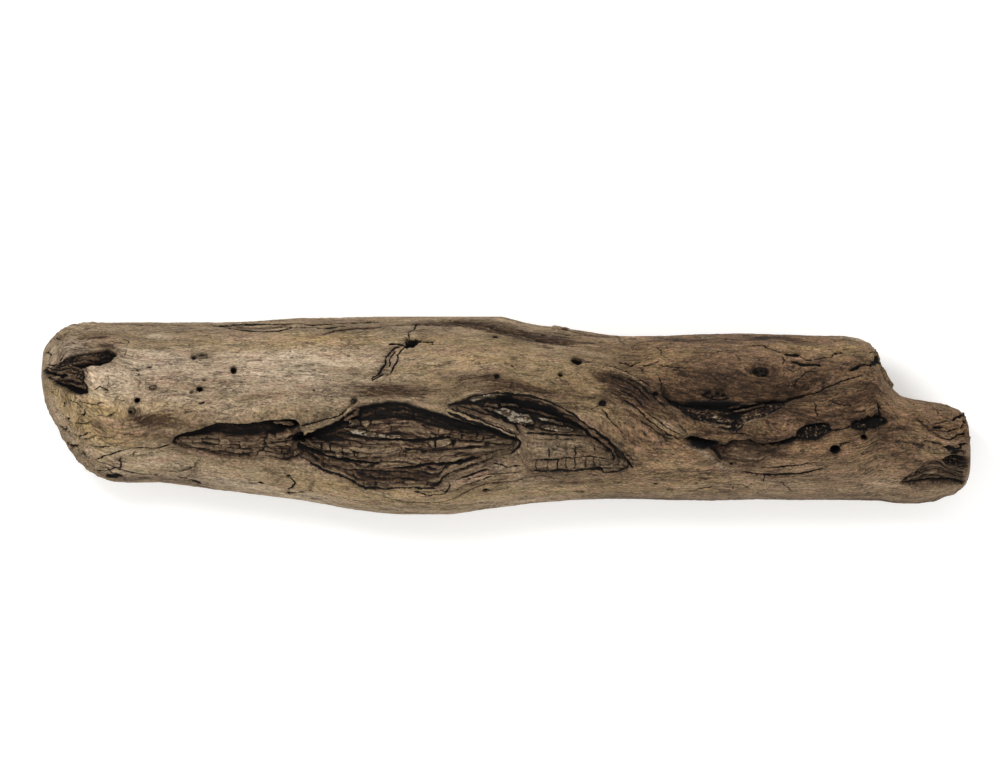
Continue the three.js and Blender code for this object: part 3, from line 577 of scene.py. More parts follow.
    (((-5, 8.4), (4, 8), (14, 5.4), (24, 2.2), (30, -1)), 3.6, 2.0, 1.0),
    (((24.5, -3), (35.5, -5.8), (43.5, -12.5), (49.5, -16.5), (54, -21.3), (54, -24.5)), 1.2, 2.2, 1.0),
    (((9, -9.2), (16, -10), (26, -10.8), (36, -11.2), (43, -12.2)), 1.4, 1.2, 0.75),
    (((14, -12.4), (26, -13), (39, -13.4)), 0.6, 0.6, 0.5), (((12, -16.6), (25, -16.2), (40, -17)), 0.5, 0.5, 0.4),
    (((-17, 8.8), (-9, 10.6), (2, 10.9), (13, 9.8), (22.2, 7), (30.8, 2.4), (37.1, -2.2), (45.1, -8.5), (50.9, -12.6),
      (56.6, -18.3), (62.4, -24.6)), 0.9, 1.2, 1.0), (((-12, 3.4), (-5, 0.6), (2, -2.4)), 0.8, 1.2, 0.9),
    (((12, -23.2), (22, -23), (33.5, -22), (42.5, -21.6), (51.5, -23.3), (54, -24.5)), 0.7, 1.1, 0.9),
    (((9, -25.4), (11.8, -28), (19.5, -28.2), (33.5, -28.2), (42.5, -27.2), (47.5, -27.4), (49.5, -29), (56.5, -28.4),
      (62.5, -26)), 0.8, 1.3, 1.0),
    (((-7.5, -23), (-2.5, -24.5), (1, -26.5), (8.5, -24.8)), 0.8, 1.1, 0.8),
    (((21.8, -17.5), (21.8, -22)), 0.5, 0.9, 0.8), (((34, -15.6), (34.8, -21.5)), 0.5, 0.9, 0.8),
    (((44, -16), (45, -19.5)), 0.5, 0.8, 0.6), (((15.5, -23.2), (15.3, -27.8)), 0.6, 0.8, 0.65),
    (((20.5, -23.2), (20.6, -27.8)), 0.6, 0.7, 0.55), (((26, -22.8), (25.8, -27.8)), 0.6, 0.8, 0.65),
    (((30, -22.4), (30.3, -27.8)), 0.6, 0.7, 0.6), (((34.5, -22), (34.6, -27.8)), 0.6, 0.8, 0.65),
    (((40, -21.8), (40, -27.2)), 0.6, 0.7, 0.55), (((44.4, -21.8), (44.2, -26.8)), 0.6, 0.8, 0.6),
    (((60, -20.5), (64.2, -23.2)), 0.7, 0.9, 0.8), (((60.8, -25), (63.6, -26.4)), 1.4, 2.0, 1.0),
    (((-30, 4.4), (-18, -0.6), (-6, -5.4), (4, -9.6), (6.5, -12)), 0.8, 1.2, 0.8),
    # below the scar
    (((-108.3, -30.8), (-105.5, -34.5), (-108.5, -37.8)), 1.0, 1.2, 1.0),
    (((-108.7, -39.4), (-100.5, -39)), 1.8, 1.2, 0.9), (((-123.8, -33.6), (-120.6, -35)), 1.8, 1.4, 1.0),
    (((-96, -32.6), (-97.4, -35.6), (-97.6, -39.6)), 2.6, 0.9, 0.4),
    # middle right
    (((55.8, 39), (57.5, 36.8), (60, 35)), 0.5, 0.6, 0.7),
    (((63, 32), (62.5, 33.5), (64.3, 34.8), (70.5, 35.2), (71, 34.5), (64.5, 33.5)), 0.5, 0.6, 0.7),
    (((73.5, 34), (76.5, 32.5), (78, 28.8), (80.5, 27)), 0.5, 0.6, 0.7),
    (((55.5, 26.5), (60, 26), (62, 24.9), (64.5, 26), (68, 26)), 1.1, 1.8, 1.0),
    (((67.5, 24.3), (72.5, 24.7), (77, 26)), 0.6, 0.7, 0.8), (((76.5, 24), (84.5, 23.5), (93, 23)), 0.8, 0.7, 0.6),
    (((47, 23), (53.5, 22.5), (60, 20.9), (67, 17.5), (72.5, 14.5)), 0.9, 1.0, 0.7),
    (((44.5, 17.5), (55.5, 16.3), (64.5, 11.5), (71.5, 5)), 6.0, 2.2, 0.3),
    (((50, 19.4), (58, 18), (66, 13), (73, 6)), 0.9, 1.0, 0.8),
    (((52, 15.6), (60, 13), (68, 7.5)), 0.9, 1.0, 0.8), (((56, 12.4), (64, 8.4), (70, 3)), 0.9, 1.0, 0.7),
    (((44, 14), (52, 12.6), (60, 9)), 0.8, 0.8, 0.5), (((60, 18.6), (67, 14.6), (74, 8.4), (80, 3.4)), 0.9, 1.0, 0.8),
    (((70, 1.6), (78, -4.4), (88, -9.6)), 0.8, 0.9, 0.7), (((66, -1.6), (74, -7.6), (84, -12.4)), 0.8, 0.8, 0.6),
    (((76.5, 19.5), (77.5, 16), (77, 11.5)), 0.6, 0.8, 0.9),
    (((55, 8.5), (62, 5.5), (64.5, 3.5), (72, -3), (80, -8.8), (87, -12)), 0.8, 1.3, 0.75),
    (((48, 5), (41.5, 3)), 0.5, 0.5, 0.6), (((46.5, 4), (52, -2), (55.8, -6.5), (59.3, -10.5)), 0.5, 0.7, 0.7),
    # far right top
    (((138.2, 29.6), (142, 29.8), (146.8, 29.3)), 3.4, 3.2, 1.0),
    (((137.7, 28.2), (138.6, 26.4), (138.2, 24.6)), 0.6, 0.8, 0.8),
    (((142, 26), (147.1, 24.6), (152, 24.2), (158, 24)), 1.6, 2.4, 1.0),
    (((128.3, 34.5), (133, 32), (137.7, 30)), 0.6, 0.8, 0.8),
    (((153.3, 26.4), (157.8, 27.5), (162.3, 28), (163.6, 29.6), (165, 30.6)), 0.9, 1.6, 1.0),
    (((164, 30.2), (166.3, 30.7), (168.6, 30.5)), 3.4, 2.8, 1.0),
    (((168, 30.6), (175, 31), (182, 30.6), (186, 29.6)), 0.7, 0.8, 0.7),
    (((153.3, 26.4), (149, 26.6), (146.6, 28.4)), 0.6, 0.8, 0.7),
    (((134, 36.5), (141, 36)), 0.9, 0.6, 0.6), (((106, 36.5), (111, 38.3)), 0.5, 0.6, 0.7),
    (((94, 34), (95.5, 31)), 0.5, 0.5, 0.6), (((89.5, 30.5), (104.5, 29.8), (101.5, 28.2)), 0.8, 0.6, 0.5),
    (((104.5, 30.5), (111.5, 31.5)), 0.5, 0.6, 0.6),
    (((116.5, 32.2), (121.5, 34.2), (128, 34.7), (134, 32.2), (138.5, 29.8)), 0.5, 0.6, 0.6),
    (((114, 29.5), (116.5, 26.5), (117.5, 24.5)), 0.5, 0.5, 0.5), (((167.8, 32.2), (175, 32.8)), 0.5, 0.5, 0.6),
    (((170.5, 21.4), (174, 23), (178, 24.5), (182, 24.5), (187, 24)), 2.0, 3.0, 1.0),
    (((155.6, 21.5), (149.3, 21.1), (148.4, 19.3), (144.9, 17.5), (144, 14)), 0.7, 0.8, 0.8),
    (((139.9, 8.6), (147.1, 9.8), (152, 11), (157.4, 12.8)), 1.5, 2.2, 1.0),
    (((157, 12.8), (164.1, 15.7), (172.5, 18.2), (178, 19.6)), 0.8, 1.0, 0.8),
    (((127, -16), (131.5, -15.2), (138.2, -14), (142.6, -12.7), (146.4, -10.9)), 2.6, 3.4, 1.0),
    (((84, 10.2), (97, 9.2), (110, 9), (135, 11), (150, 12.4)), 8.0, 1.6, 0.12),
    (((97, 11.6), (101.2, 9.7), (106.1, 8.6), (110.3, 9), (112.4, 10)), 1.0, 1.2, 0.8),
    (((98, 12.6), (104, 13.6), (110, 12.4)), 0.8, 1.0, 0.6), (((101, 11.8), (105, 10.6), (109, 11)), 0.8, 0.8, 0.6),
    (((126.6, -26.3), (136, -26.3), (147.5, -24), (156.5, -23.1)), 0.8, 1.0, 0.8),
    (((166, -14.6), (169, -13.5), (171.6, -13.7)), 1.0, 1.0, 0.7),
    (((178.3, -10), (179.4, -6.4)), 0.6, 0.8, 0.7), (((161, 7.6), (166, 5.4), (174, 4.2)), 0.6, 0.8, 0.6),
    (((112, -9.6), (118, -9), (127, -12)), 0.7, 0.9, 0.6), (((190, 16), (197, 9), (206, 4)), 1.2, 1.0, 0.5),
    (((153.5, 7), (154.5, 3), (155.5, -1)), 0.5, 0.7, 0.7),
    (((162.5, -7.5), (167.5, -7), (172.5, -5.5)), 0.9, 1.6, 1.0),
    (((171.5, 1.5), (180, 2)), 0.9, 0.6, 0.6), (((186.5, 4), (186.5, -0.5)), 1.4, 1.3, 0.7),
    (((118.5, -4.5), (116.8, -6.5), (114.5, -9)), 0.8, 1.0, 0.8),
    (((117, -28.6), (127.5, -29.8), (143, -29.5), (159.5, -26.5)), 1.3, 1.2, 0.9),
    (((134, -26), (152, -23.5), (159.5, -23.5)), 0.7, 0.7, 0.6), (((166, -15.5), (171, -13.5)), 0.9, 0.6, 0.6),
    (((177, -19.5), (185, -18.5)), 1.8, 0.6, 0.4),
    # right end
    (((214, -7.4), (220, -8.4), (227, -7.4), (231.5, -7.8)), 1.0, 2.0, 0.7),
    (((216, -11.4), (222, -12.6), (231, -11.6)), 0.9, 1.8, 0.7),
    (((218, -15.2), (225, -16.4), (231.5, -15.6)), 1.1, 2.2, 0.8),
    (((212, -18.6), (221, -19.4), (230, -18.2)), 0.8, 1.2, 0.7),
    (((204, 0.6), (208, -3.6), (213.4, -8.6), (219, -12.4)), 2.4, 0.8, 0.2),
    (((201, 5.2), (206, 4), (213, 1), (219, -2)), 0.8, 0.8, 0.6),
    (((199, 8.4), (206, 7.4), (215, 9)), 0.6, 0.7, 0.6), (((208, -12), (214, -14), (219, -14.2)), 0.7, 1.0, 0.7),
    (((221, 9), (224.5, 5), (229.6, 3)), 0.7, 1.0, 0.7), (((193, -11.6), (203, -14), (213, -16.4)), 0.8, 0.8, 0.5),
    (((190, -6), (199, -6.6), (208, -9)), 0.7, 0.7, 0.5), (((200, -28), (212, -31.6), (230, -30.8)), 0.9, 1.3, 0.8),
    (((223, -3), (230.5, -2.5)), 1.6, 2.4, 1.0), (((213, -4.5), (222.5, -3.2)), 0.8, 1.2, 0.9),
    (((213, 4.5), (216.8, 0.5), (223, -3)), 0.6, 0.8, 0.8),
    (((197, -35), (208, -34.6), (217.5, -34.1), (228.5, -33)), 1.4, 2.0, 1.0),
    (((204, -32.6), (216, -30.4), (229, -28.6)), 0.8, 1.2, 0.8),
    (((208, -28.6), (218, -27.6), (230, -25.6)), 0.7, 1.0, 0.7),
    # lower right
    (((128.5, -30), (128.5, -33.8)), 0.5, 0.6, 0.7), (((110.5, -35), (118, -35), (123, -37.5)), 0.5, 0.6, 0.7),
    (((113, -35.5), (114, -37.5)), 0.5, 0.5, 0.6), (((89.5, -38), (100.5, -36.5), (106, -35.5)), 0.5, 0.6, 0.6),
    (((137, -33), (139.5, -35), (143.5, -38.5)), 0.5, 0.5, 0.6),
)

# Round holes and pits: x, y, half length, half width, degrees turned, depth, height of the
# rim, strength of the dark in it, which is painted shade with dirt.
holes = (
    (-184, 7.5, 1.35, 1.35, 0, 7, 0.15, 1.0), (-176, 13.8, 2.3, 1.8, 20, 1.0, 0.1, 0.5),
    (-108.6, -30.6, 0.9, 0.8, 0, 1.2, 0, 0.9), (-108.5, -39.2, 0.9, 1.6, 0, 1.2, 0, 0.9),
    (-48.4, 36.2, 2.0, 1.5, -6, 5, 0, 1.0),
    (-178, 24.2, 1.6, 0.8, 0, 0.9, 0, 0.35), (-183.7, 22.2, 0.8, 0.6, 0, 0.8, 0, 0.5),
    (-183.2, 20.2, 0.6, 0.5, 0, 0.8, 0, 0.5), (-182.5, 16.5, 0.6, 0.5, 0, 0.8, 0, 0.4),
    (-152.6, 29.4, 4.4, 2.0, 4, 1.3, 0.25, 0.35), (-151.4, 30.8, 2.6, 0.6, 4, 0.8, 0, 0.5),
    (-156, 28.6, 1.3, 1.4, 0, 1.6, 0, 0.7),
    (-135.9, 22.7, 1.4, 2.1, 0, 7, 0.15, 1.0), (-152.7, 13, 1.35, 1.35, 0, 7, 0.1, 1.0),
    (-155.8, 11.8, 2.4, 1.0, 25, 0.9, 0, 0.35), (-150.6, 17.5, 1.1, 0.9, 20, 0.8, 0, 0.35),
    (-114.5, 32.5, 0.5, 0.4, 0, 0.6, 0, 0.6), (-108, 32, 0.5, 0.4, 0, 0.6, 0, 0.6),
    (-78.7, 29.6, 0.8, 0.5, 0, 0.6, 0, 0.5), (-95.7, 12.5, 0.7, 0.5, 0, 0.6, 0, 0.5),
    (-76, 7, 1.7, 1.3, 15, 0.9, 0.3, 0.6), (-4.8, 18.5, 1.2, 1.2, 0, 1.8, 0.3, 0.7),
    (2.8, 23.5, 0.9, 0.6, 0, 0.8, 0, 0.5), (26.8, 19.9, 1.15, 1.0, 0, 6, 0.25, 1.0),
    (35, 26.5, 2.6, 2.1, -10, 8, 0.25, 1.0), (48.3, 5.9, 1.8, 1.4, 30, 1.8, 0.3, 0.75),
    (-10.3, -37.5, 1.4, 1.3, 0, 1.4, 0.3, 0.65), (13, -41.8, 1.2, 0.6, 0, 0.9, 0, 0.6),
    (74.7, -34, 1.2, 0.6, -10, 1.3, 0, 0.9), (82, -37, 1.8, 0.7, 0, 1.3, 0, 0.9),
    (37, -38.5, 3.0, 0.9, 0, 0.8, 0, 0.4), (54, -41.8, 0.8, 0.5, 0, 0.8, 0, 0.5),
    (-5.3, 39, 1.6, 1.2, 20, 0.9, 0.2, 0.6), (74.5, 10.5, 1.5, 1.3, 0, 2.4, 0.3, 0.9),
    (68, 22.7, 0.7, 0.5, 0, 0.8, 0, 0.7), (84, 22.2, 0.7, 0.5, 0, 0.8, 0, 0.7),
    (127, 21.3, 4.3, 2.8, -5, 2.4, 0.3, 0.55), (104.5, 10.9, 7.0, 2.4, -8, 1.6, 0.2, 0.25),
    (125, 22, 1.1, 0.8, 0, 1.4, 0, 1.0), (128.6, 20.5, 1.3, 0.9, 0, 1.6, 0, 1.0),
    (127.4, 22.6, 0.9, 0.6, 0, 1.2, 0, 1.0),
    (126, 20.2, 0.8, 0.6, 0, 1.0, 0, 1.0), (130, 21.8, 0.7, 0.6, 0, 1.0, 0, 1.0),
    (112.4, -25, 1.0, 0.6, 0, 0.8, 0, 0.7),
    (101, 12.4, 1.4, 0.8, 10, 1.2, 0, 0.8), (105.6, 12, 1.2, 0.7, 0, 1.2, 0, 0.8),
    (108.4, 11.2, 1.1, 0.8, 0, 1.2, 0, 0.9),
    (103, 10.6, 1.0, 0.5, 0, 1.0, 0, 0.7), (99, 11.4, 0.8, 0.6, 0, 1.0, 0, 0.7),
    (149.8, 14.5, 2.0, 1.9, 0, 0.7, 0.35, 0.35), (178.5, -11, 1.4, 1.3, 0, 5, 0.1, 0.95),
    (164.2, -17, 2.5, 2.5, 10, 8, 0.1, 1.0), (186.5, 4.4, 1.2, 0.9, 0, 1.6, 0.2, 0.6),
    (122.5, -34.5, 0.6, 0.4, 0, 0.8, 0, 0.7), (95, -33.8, 0.6, 0.4, 0, 0.8, 0, 0.7),
    (-210.3, -19.5, 1.3, 0.9, -30, 2.2, 0, 1.0), (-199, -29, 0.8, 0.6, 0, 1.2, 0, 1.0),
    (-186.6, 2, 2.3, 2.1, 20, 1.0, 0.3, 0.45), (-187.4, 1.4, 1.0, 0.7, 20, 1.2, 0, 0.7),
    (-76, -46.7, 1.1, 0.5, 0, 0.9, 0, 0.8),
    (-96.5, -42.3, 1.4, 0.9, -30, 1.8, 0, 1.0), (-104, -14.8, 3.6, 1.7, -20, 4.0, 0, 0.8),
    (215.5, -6, 2.3, 1.3, 20, 2.2, 0, 0.9), (26, -12.2, 1.2, 0.9, 0, 0.8, 0, 0.5),
    (-3.9, -26.2, 3.2, 3.2, 0, 0.5, 0, 0.1),
)

# Soft patches of each tone: x, y, half length, half width, strength.
washes = {
    "bleach": (
        (-110, 24, 60, 18, 0.8), (-175, 22, 40, 14, 0.55), (-218, 30, 14, 12, 0.4), (-218, 6, 9, 9, 0.45),
        (-200, 17, 12, 8, 0.7), (-140, -34, 40, 8, 0.35), (-190, -26, 26, 7, 0.4), (-96, -42, 50, 7, 0.3),
        (60, -42, 90, 5, 0.35), (176, -32, 30, 8, 0.25), (-40, 33, 20, 6, 0.35), (190, -24, 18, 5, 0.25),
        (110, -45, 70, 5, 0.15), (178, 38, 12, 4, 0.9), (-214, 10, 12, 20, 0.3), (-178, 28, 16, 8, 0.5),
        (-214, 30, 12, 14, 0.4), (98, -32, 26, 7, 0.2), (-136, -32, 24, 8, 0.25), (-60, 28, 20, 7, 0.3),
        (-214, -4, 10, 10, 0.35), (-174.5, 39.6, 6, 2.2, 0.9), (-3.9, -26.2, 3, 3, 0.6), (-60, 40, 10, 4, 0.7),
        (-218, 36, 8, 8, 0.5),
    ),
    "yellow": (
        (-204, -2, 26, 12, 0.9), (-215, 2, 10, 10, 0.5), (-170, -2, 18, 5, 0.6), (-20, 26, 60, 16, 0.55),
        (-80, -38, 60, 9, 0.5), (-130, 36, 90, 6, 0.4), (20, -38, 70, 8, 0.4), (74, 28, 14, 8, 0.6),
        (160, 32, 30, 8, 0.5), (82, -4, 12, 5, 0.5), (40, 12, 30, 12, 0.4), (95, -30, 50, 12, 0.3),
        (-212, -1, 12, 13, 0.9), (-92, 38, 30, 5, 0.6),
    ),
    "rosy": (
        (-60, 30, 40, 8, 0.3), (-20, 22, 12, 4, 0.5), (74.5, 7.4, 2, 1.4, 0.7), (-150, 20, 50, 12, 0.3),
        (0, -24, 20, 5, 0.4), (130, 26, 30, 8, 0.3), (160, -30, 60, 10, 0.3), (-215, 30, 14, 8, 0.5),
        (86, -2, 8, 3, 0.5), (-128, 39, 10, 4, 0.8), (-200, 38, 10, 5, 0.6),
    ),
    # stains, and painted shade: the long thin bands near y = -45 and y = 45 darken the near and far edges of the log,
    # where it turns from the light
    "stainAndShade": (
        (-182, -2, 12, 4.5, 0.3), (-204, -5, 10, 4, 0.25), (-174, -3, 20, 6, 0.25), (-210, 40, 30, 4, 0.3),
        (-80, 43, 80, 5, 0.25), (0, 42, 50, 7, 0.5), (20, 16, 40, 10, 0.25), (62, 10, 20, 8, 0.5),
        (60, 15, 14, 5, 0.35), (110, 20, 50, 20, 0.5), (105, 14, 30, 8, 0.35), (150, 22, 36, 14, 0.25),
        (140, 2, 40, 9, 0.4), (180, 4, 26, 12, 0.3), (204, -8, 30, 14, 0.35), (120, -18, 30, 10, 0.3),
        (214, -28, 18, 8, 0.35), (56, -18, 24, 14, 0.3), (120, -33, 60, 6, 0.2), (-20, -24, 70, 14, 0.25),
        (-60, 12, 60, 5, 0.2), (44, -30.2, 2.4, 1.4, 0.6), (200.5, -19.5, 1.4, 0.9, 0.8),
        (-204.3, -4, 2, 1.4, 0.5), (-209, 31, 18, 5, 0.35), (-216, 18, 9, 8, 0.3), (-180, 46, 60, 4, 0.25),
        (-20, 46, 50, 4, 0.35), (140, 40, 50, 4, 0.35), (-56, 13, 26, 5, 0.45), (-10, 14, 30, 4, 0.35),
        (30, 8, 20, 5, 0.35), (-172, -3, 20, 5, 0.5), (176, 12, 16, 8, 0.35), (188, -14, 24, 6, 0.35),
        (216, -8, 14, 14, 0.1), (-176, -14, 22, 9, 0.25), (-176, -32, 34, 6, 0.25), (-152, 9, 40, 8, 0.22),
        (62, -4, 14, 8, 0.35), (138, -4, 24, 7, 0.3), (134, 38, 26, 7, 0.3), (20, -33, 30, 6, 0.3),
        (-96, 0, 16, 6, 0.2), (130, -45, 100, 4, 0.3), (-50, -47, 70, 4, 0.15), (-190, -32, 34, 6, 0.25),
        (136, -31, 20, 6, 0.2), (62, 28, 16, 8, 0.25), (106, 12, 34, 8, 0.4), (142, 38, 24, 5, 0.3),
        (-174, 44, 36, 10, 0.3), (-174, -6, 16, 6, 0.2), (176, 40, 12, 8, -0.4), (176, 0, 18, 8, -0.3),
        (155, -43, 80, 16, 0.45), (60, -43, 34, 12, 0.35), (-176, -30, 26, 12, 0.3), (216, -16, 14, 7, -0.5),
        (-214, 14, 10, 20, -0.35), (176, -44, 30, 14, 0.2), (216, -18, 12, 8, -0.4), (-172, -14, 20, 10, 0.15),
        (176, 42, 12, 10, -0.4), (150, -30, 44, 9, 0.15), (-96, -1, 10, 5, 0.15), (-58, 11, 26, 5, 0.2),
        (20, -18, 22, 7, 0.2), (150, -17, 34, 8, 0.15), (98, 14, 24, 6, 0.12), (216, -34, 16, 8, 0.25),
        (98, -32, 26, 7, -0.25), (-174, -2, 20, 6, 0.12), (138, 35, 34, 10, 0.14), (60, 30, 24, 8, 0.12),
        (120, -30, 90, 6, 0.14), (30, -31, 40, 6, 0.16), (-214, -4, 12, 12, -0.2),
    ),
    "tan": ((178, 37, 14, 8, -0.7), (216, -14, 14, 8, -0.3), (150, -30, 44, 9, -0.2)),
    # painted shade: black under the far lip of the upper hollow and in the deepest pits of the hollows
    "dark": (
        (98, -14, 9, 2.8, 1.0), (103.4, -15.6, 3.6, 2.2, 0.7), (-101, -12, 5, 3.4, 0.7),
        (114.8, -0.7, 5.6, 3.4, 0.95), (99, 6, 17, 1.9, 0.95),
    ),
    "grain": ((28, -19, 25, 7, 1.3),),
    "layer": (  # below 0 it darkens the layers inside the scar
        (-58, -31, 30, 8, -0.28), (-96, -18, 13, 8, -0.32), (-62, 3, 24, 5, -0.2), (-94, -9.5, 13, 5.5, -0.75),
        (-18, -1, 20, 6, -0.3), (98, 0, 18, 7, -0.2),
    ),
}

lowerRim = ((90, -14.6), (97, -17.6), (103, -21.6), (108.5, -26.4), (114, -27.8))
swirlRidge = ((49, 21.8), (58, 20.4), (66, 16), (72.4, 10))

# Brushed lines of tone: the points, half width, tone, strength.
brushes = (
    (((44, 19), (54, 17.6), (62, 13.4), (70, 6.5), (76, 2)), 4.4, "stainAndShade", 1.0),
    (((-45, 45.5), (-20, 46), (-8, 44), (6, 41.5), (17.5, 38.5), (30, 36.8), (44, 36)), 2.4, "stainAndShade", 0.8),
    (((-18, 43.5), (-2, 41), (12, 37.5), (26, 35)), 0.9, "stainAndShade", 0.7),
    (((10, 42), (24, 39.8), (36, 38)), 0.8, "dark", 0.5),
    (((82, 13), (97, 12), (115, 12.6), (135, 14), (152, 16)), 5.5, "stainAndShade", 0.9),
    (((77, 15), (83, 10), (92, 9.4)), 3.0, "stainAndShade", 0.7), (((148, 20), (165, 22.4), (184, 21.6)), 3.0, "stainAndShade", 0.4),
    (((158, 0), (171.6, 3.2), (189.5, 9.5)), 2.2, "stainAndShade", 0.9),
    (((196, 10), (206, 6), (216, 5), (228, 5)), 2.5, "stainAndShade", 0.5),
    (((-215.5, 38), (-206, 39), (-197.5, 39.5)), 1.2, "stainAndShade", 0.9), (((-203, 35.6), (-195, 34)), 2.0, "stainAndShade", 0.9),
    (((-197, 45.4), (-175, 45.2), (-153, 45)), 0.8, "dark", 0.6),
    (((-226, 25), (-221, 23), (-218, 20)), 2.6, "stainAndShade", 0.7),
    (((-150, 45), (-132, 45.4), (-116, 45.8)), 0.7, "dark", 0.7),
    (((-135, 42.6), (-118, 42), (-104, 44.4)), 0.7, "dark", 0.6),
    (((-96, 44.6), (-84, 45.4), (-70, 45.6)), 0.6, "dark", 0.5),
    (((-64, 46), (-40, 47.4), (-22, 47.4)), 0.8, "dark", 0.4),
    (((120, 38.4), (138, 38.8), (160, 37.6)), 0.8, "dark", 0.35),
    (((84, 37.4), (100, 38.6), (116, 37.8)), 1.2, "stainAndShade", 0.6),
    (((-55.5, 33), (-60, 26), (-63.5, 19)), 2.4, "stainAndShade", 0.55), (((104, 0), (112, -5), (120, -8)), 1.4, "stainAndShade", 0.5),
    (((-90, 41), (-78, 43), (-62, 43.6)), 1.2, "stainAndShade", 0.7),
    (((-140, 44), (-122, 43.6), (-104, 45.6)), 1.6, "stainAndShade", 0.7),
    (((-175, -33), (-160, -34), (-146, -37)), 1.2, "stainAndShade", 0.7), (((60, 2), (74, -7), (86, -14)), 1.4, "stainAndShade", 0.5),
    (((200, -17), (212, -18), (228, -17.4)), 2.0, "stainAndShade", 0.3),
    (((205, -2), (211, -7), (217, -11)), 1.6, "stainAndShade", 0.6),
    (((-206, -5), (-196, -3), (-184, -5)), 2.2, "rosy", 0.9), (((-196, -10), (-180, -8), (-166, -9)), 2.6, "rosy", 0.7),
    (((-40, 32.6), (-28, 31), (-14, 31.6)), 2.0, "rosy", 0.6),
    (((-34, -37), (-22, -32.6), (-6, -27.4)), 2.6, "rosy", 0.8),
    (((-32, -35), (-20, -30.6), (-8, -26.8)), 1.4, "bleach", 0.7),
    (((-30, -38.6), (-16, -34.8), (0, -32)), 1.0, "stainAndShade", 0.5),
    (((-231, 21), (-226, 21.6), (-220, 20)), 4.0, "stainAndShade", 0.6),
    (((-110, 30), (-84, 29), (-56, 27)), 9.0, "bleach", 0.3),
    (((150, 34), (166, 33), (180, 33.6)), 1.6, "yellow", 0.8),
    (((73, -2), (81, -5.5), (88, -8.6), (92, -10.4)), 2.2, "bleach", 1.0),
    (((73, -2), (81, -5.5), (88, -8.6)), 1.8, "tan", -0.5),
    (((76, 3), (84, -1.6), (90, -4.4)), 1.6, "stainAndShade", 0.5), (((129, -1.5), (130, -4), (128.5, -7)), 1.6, "bleach", 0.9),
    (lowerRim, 1.4, "bleach", 1.2), (lowerRim, 1.4, "tan", -0.6),
    (swirlRidge, 1.5, "bleach", 1.1), (swirlRidge, 1.5, "stainAndShade", -0.9),
    (((48, 16.4), (58, 14), (66, 8.6), (72, 3)), 3.2, "rosy", 0.8),
    (((60, 4), (70, -2.6), (80, -8.4)), 1.0, "bleach", 0.7),
    (((-208, -9.5), (-197, -8), (-187, -4.6)), 3.2, "tan", 0.4),
    (((-200, -14.6), (-189, -11), (-180, -9.4)), 2.4, "tan", 0.4),
    # painted shade: dark bands along the far edge of the log
    (((74, 38.8), (88, 37), (104, 38.2)), 1.8, "stainAndShade", 0.9),
    (((116, 37), (134, 38.4), (152, 36.6)), 1.8, "stainAndShade", 0.8),
    (((28, 42.6), (42, 40), (56, 39.4)), 2.2, "stainAndShade", 0.8), (((92, 34.6), (110, 33.6), (126, 35)), 1.2, "bleach", 0.6),
)


def acrossShares(v, shares, levels):
    # The level at each v, with s-curves between the levels given at the shares.
    value = levels[-1] + 0 * v
    for i in range(len(shares) - 1, 0, -1):
        blend = rise((v - shares[i - 1]) / (shares[i] - shares[i - 1]))
        value = np.where(v < shares[i], levels[i - 1] + (levels[i] - levels[i - 1]) * blend, value)
    return value


def edgesOf(hollow):
    # Both edges on the unrolled sheet, with smooth curves through their points.
    return curved(lookDown(hollow["near"])), curved(lookDown(hollow["far"]))


# How the rotten wood is made. Each grain gives the length and width of its features in
# millimetres, its layers of noise and its seed. Heights and depths are millimetres too.
rotForm = {
    "grains": {
        "plates": (26, 2.6, 1, 5), "strings": (8, 1.1, 3, 8), "seams": (12, 1.5, 1, 12), "tint": (15, 2.6, 1, 16),
        "openPlaces": (6, 2.4, 1, 14), "breaks": (2.6, 5, 1, 18), "breakPlaces": (8, 3, 1, 20),
        "rowWaver": (7, 5, 1, 19), "jointPlaces": (5, 4, 1, 25),
    },
    "bend": (22, 8, 3, 0), "crumbs": (0.8, 0.75, 2, 31),
    "gapWidths": (0.08, 0.1, 0.07),  # of plates, seams and breaks, as shares of their noise
    "jointWidths": (0.34, 0.28),  # along a row of cubes, and between its cubes
    "plateHeight": 0.7, "stringHeight": 0.45, "gapDepth": 0.75, "cubeHeight": 0.9, "jointDepth": 1.2,
    "crumbHeight": 0.8,
    # how much lighter or darker each makes the wood, and how much black, painted shade with dirt, lies in it
    "tintLight": 0.5, "stringLight": 0.26, "gapLight": -0.35, "cubeLight": 0.22, "jointLight": -0.5,
    "crumbLight": 0.9, "jointDirtAndShade": 0.6, "gapDirtAndShade": 0.35, "mostDirtAndShade": 0.9, "crumbPale": 0.55,
    "tip": 1.5, "inner": 0.8,  # how far in from the tips, and from the walls, the wood is whole
    "black": 0.3, "dimmest": 0.4,  # below this lightness the wood hides its texture, down to this share of it
    "seams": 0.7,  # strength beside the gaps between plates
    "rowShift": 0.37, "rowWavering": 0.25, "jointWavering": 0.3,  # in rows and cubes
    "reach": 12,  # how far from a hollow its lips can reach
    "firstSeed": 100, "seedStep": 40,
}


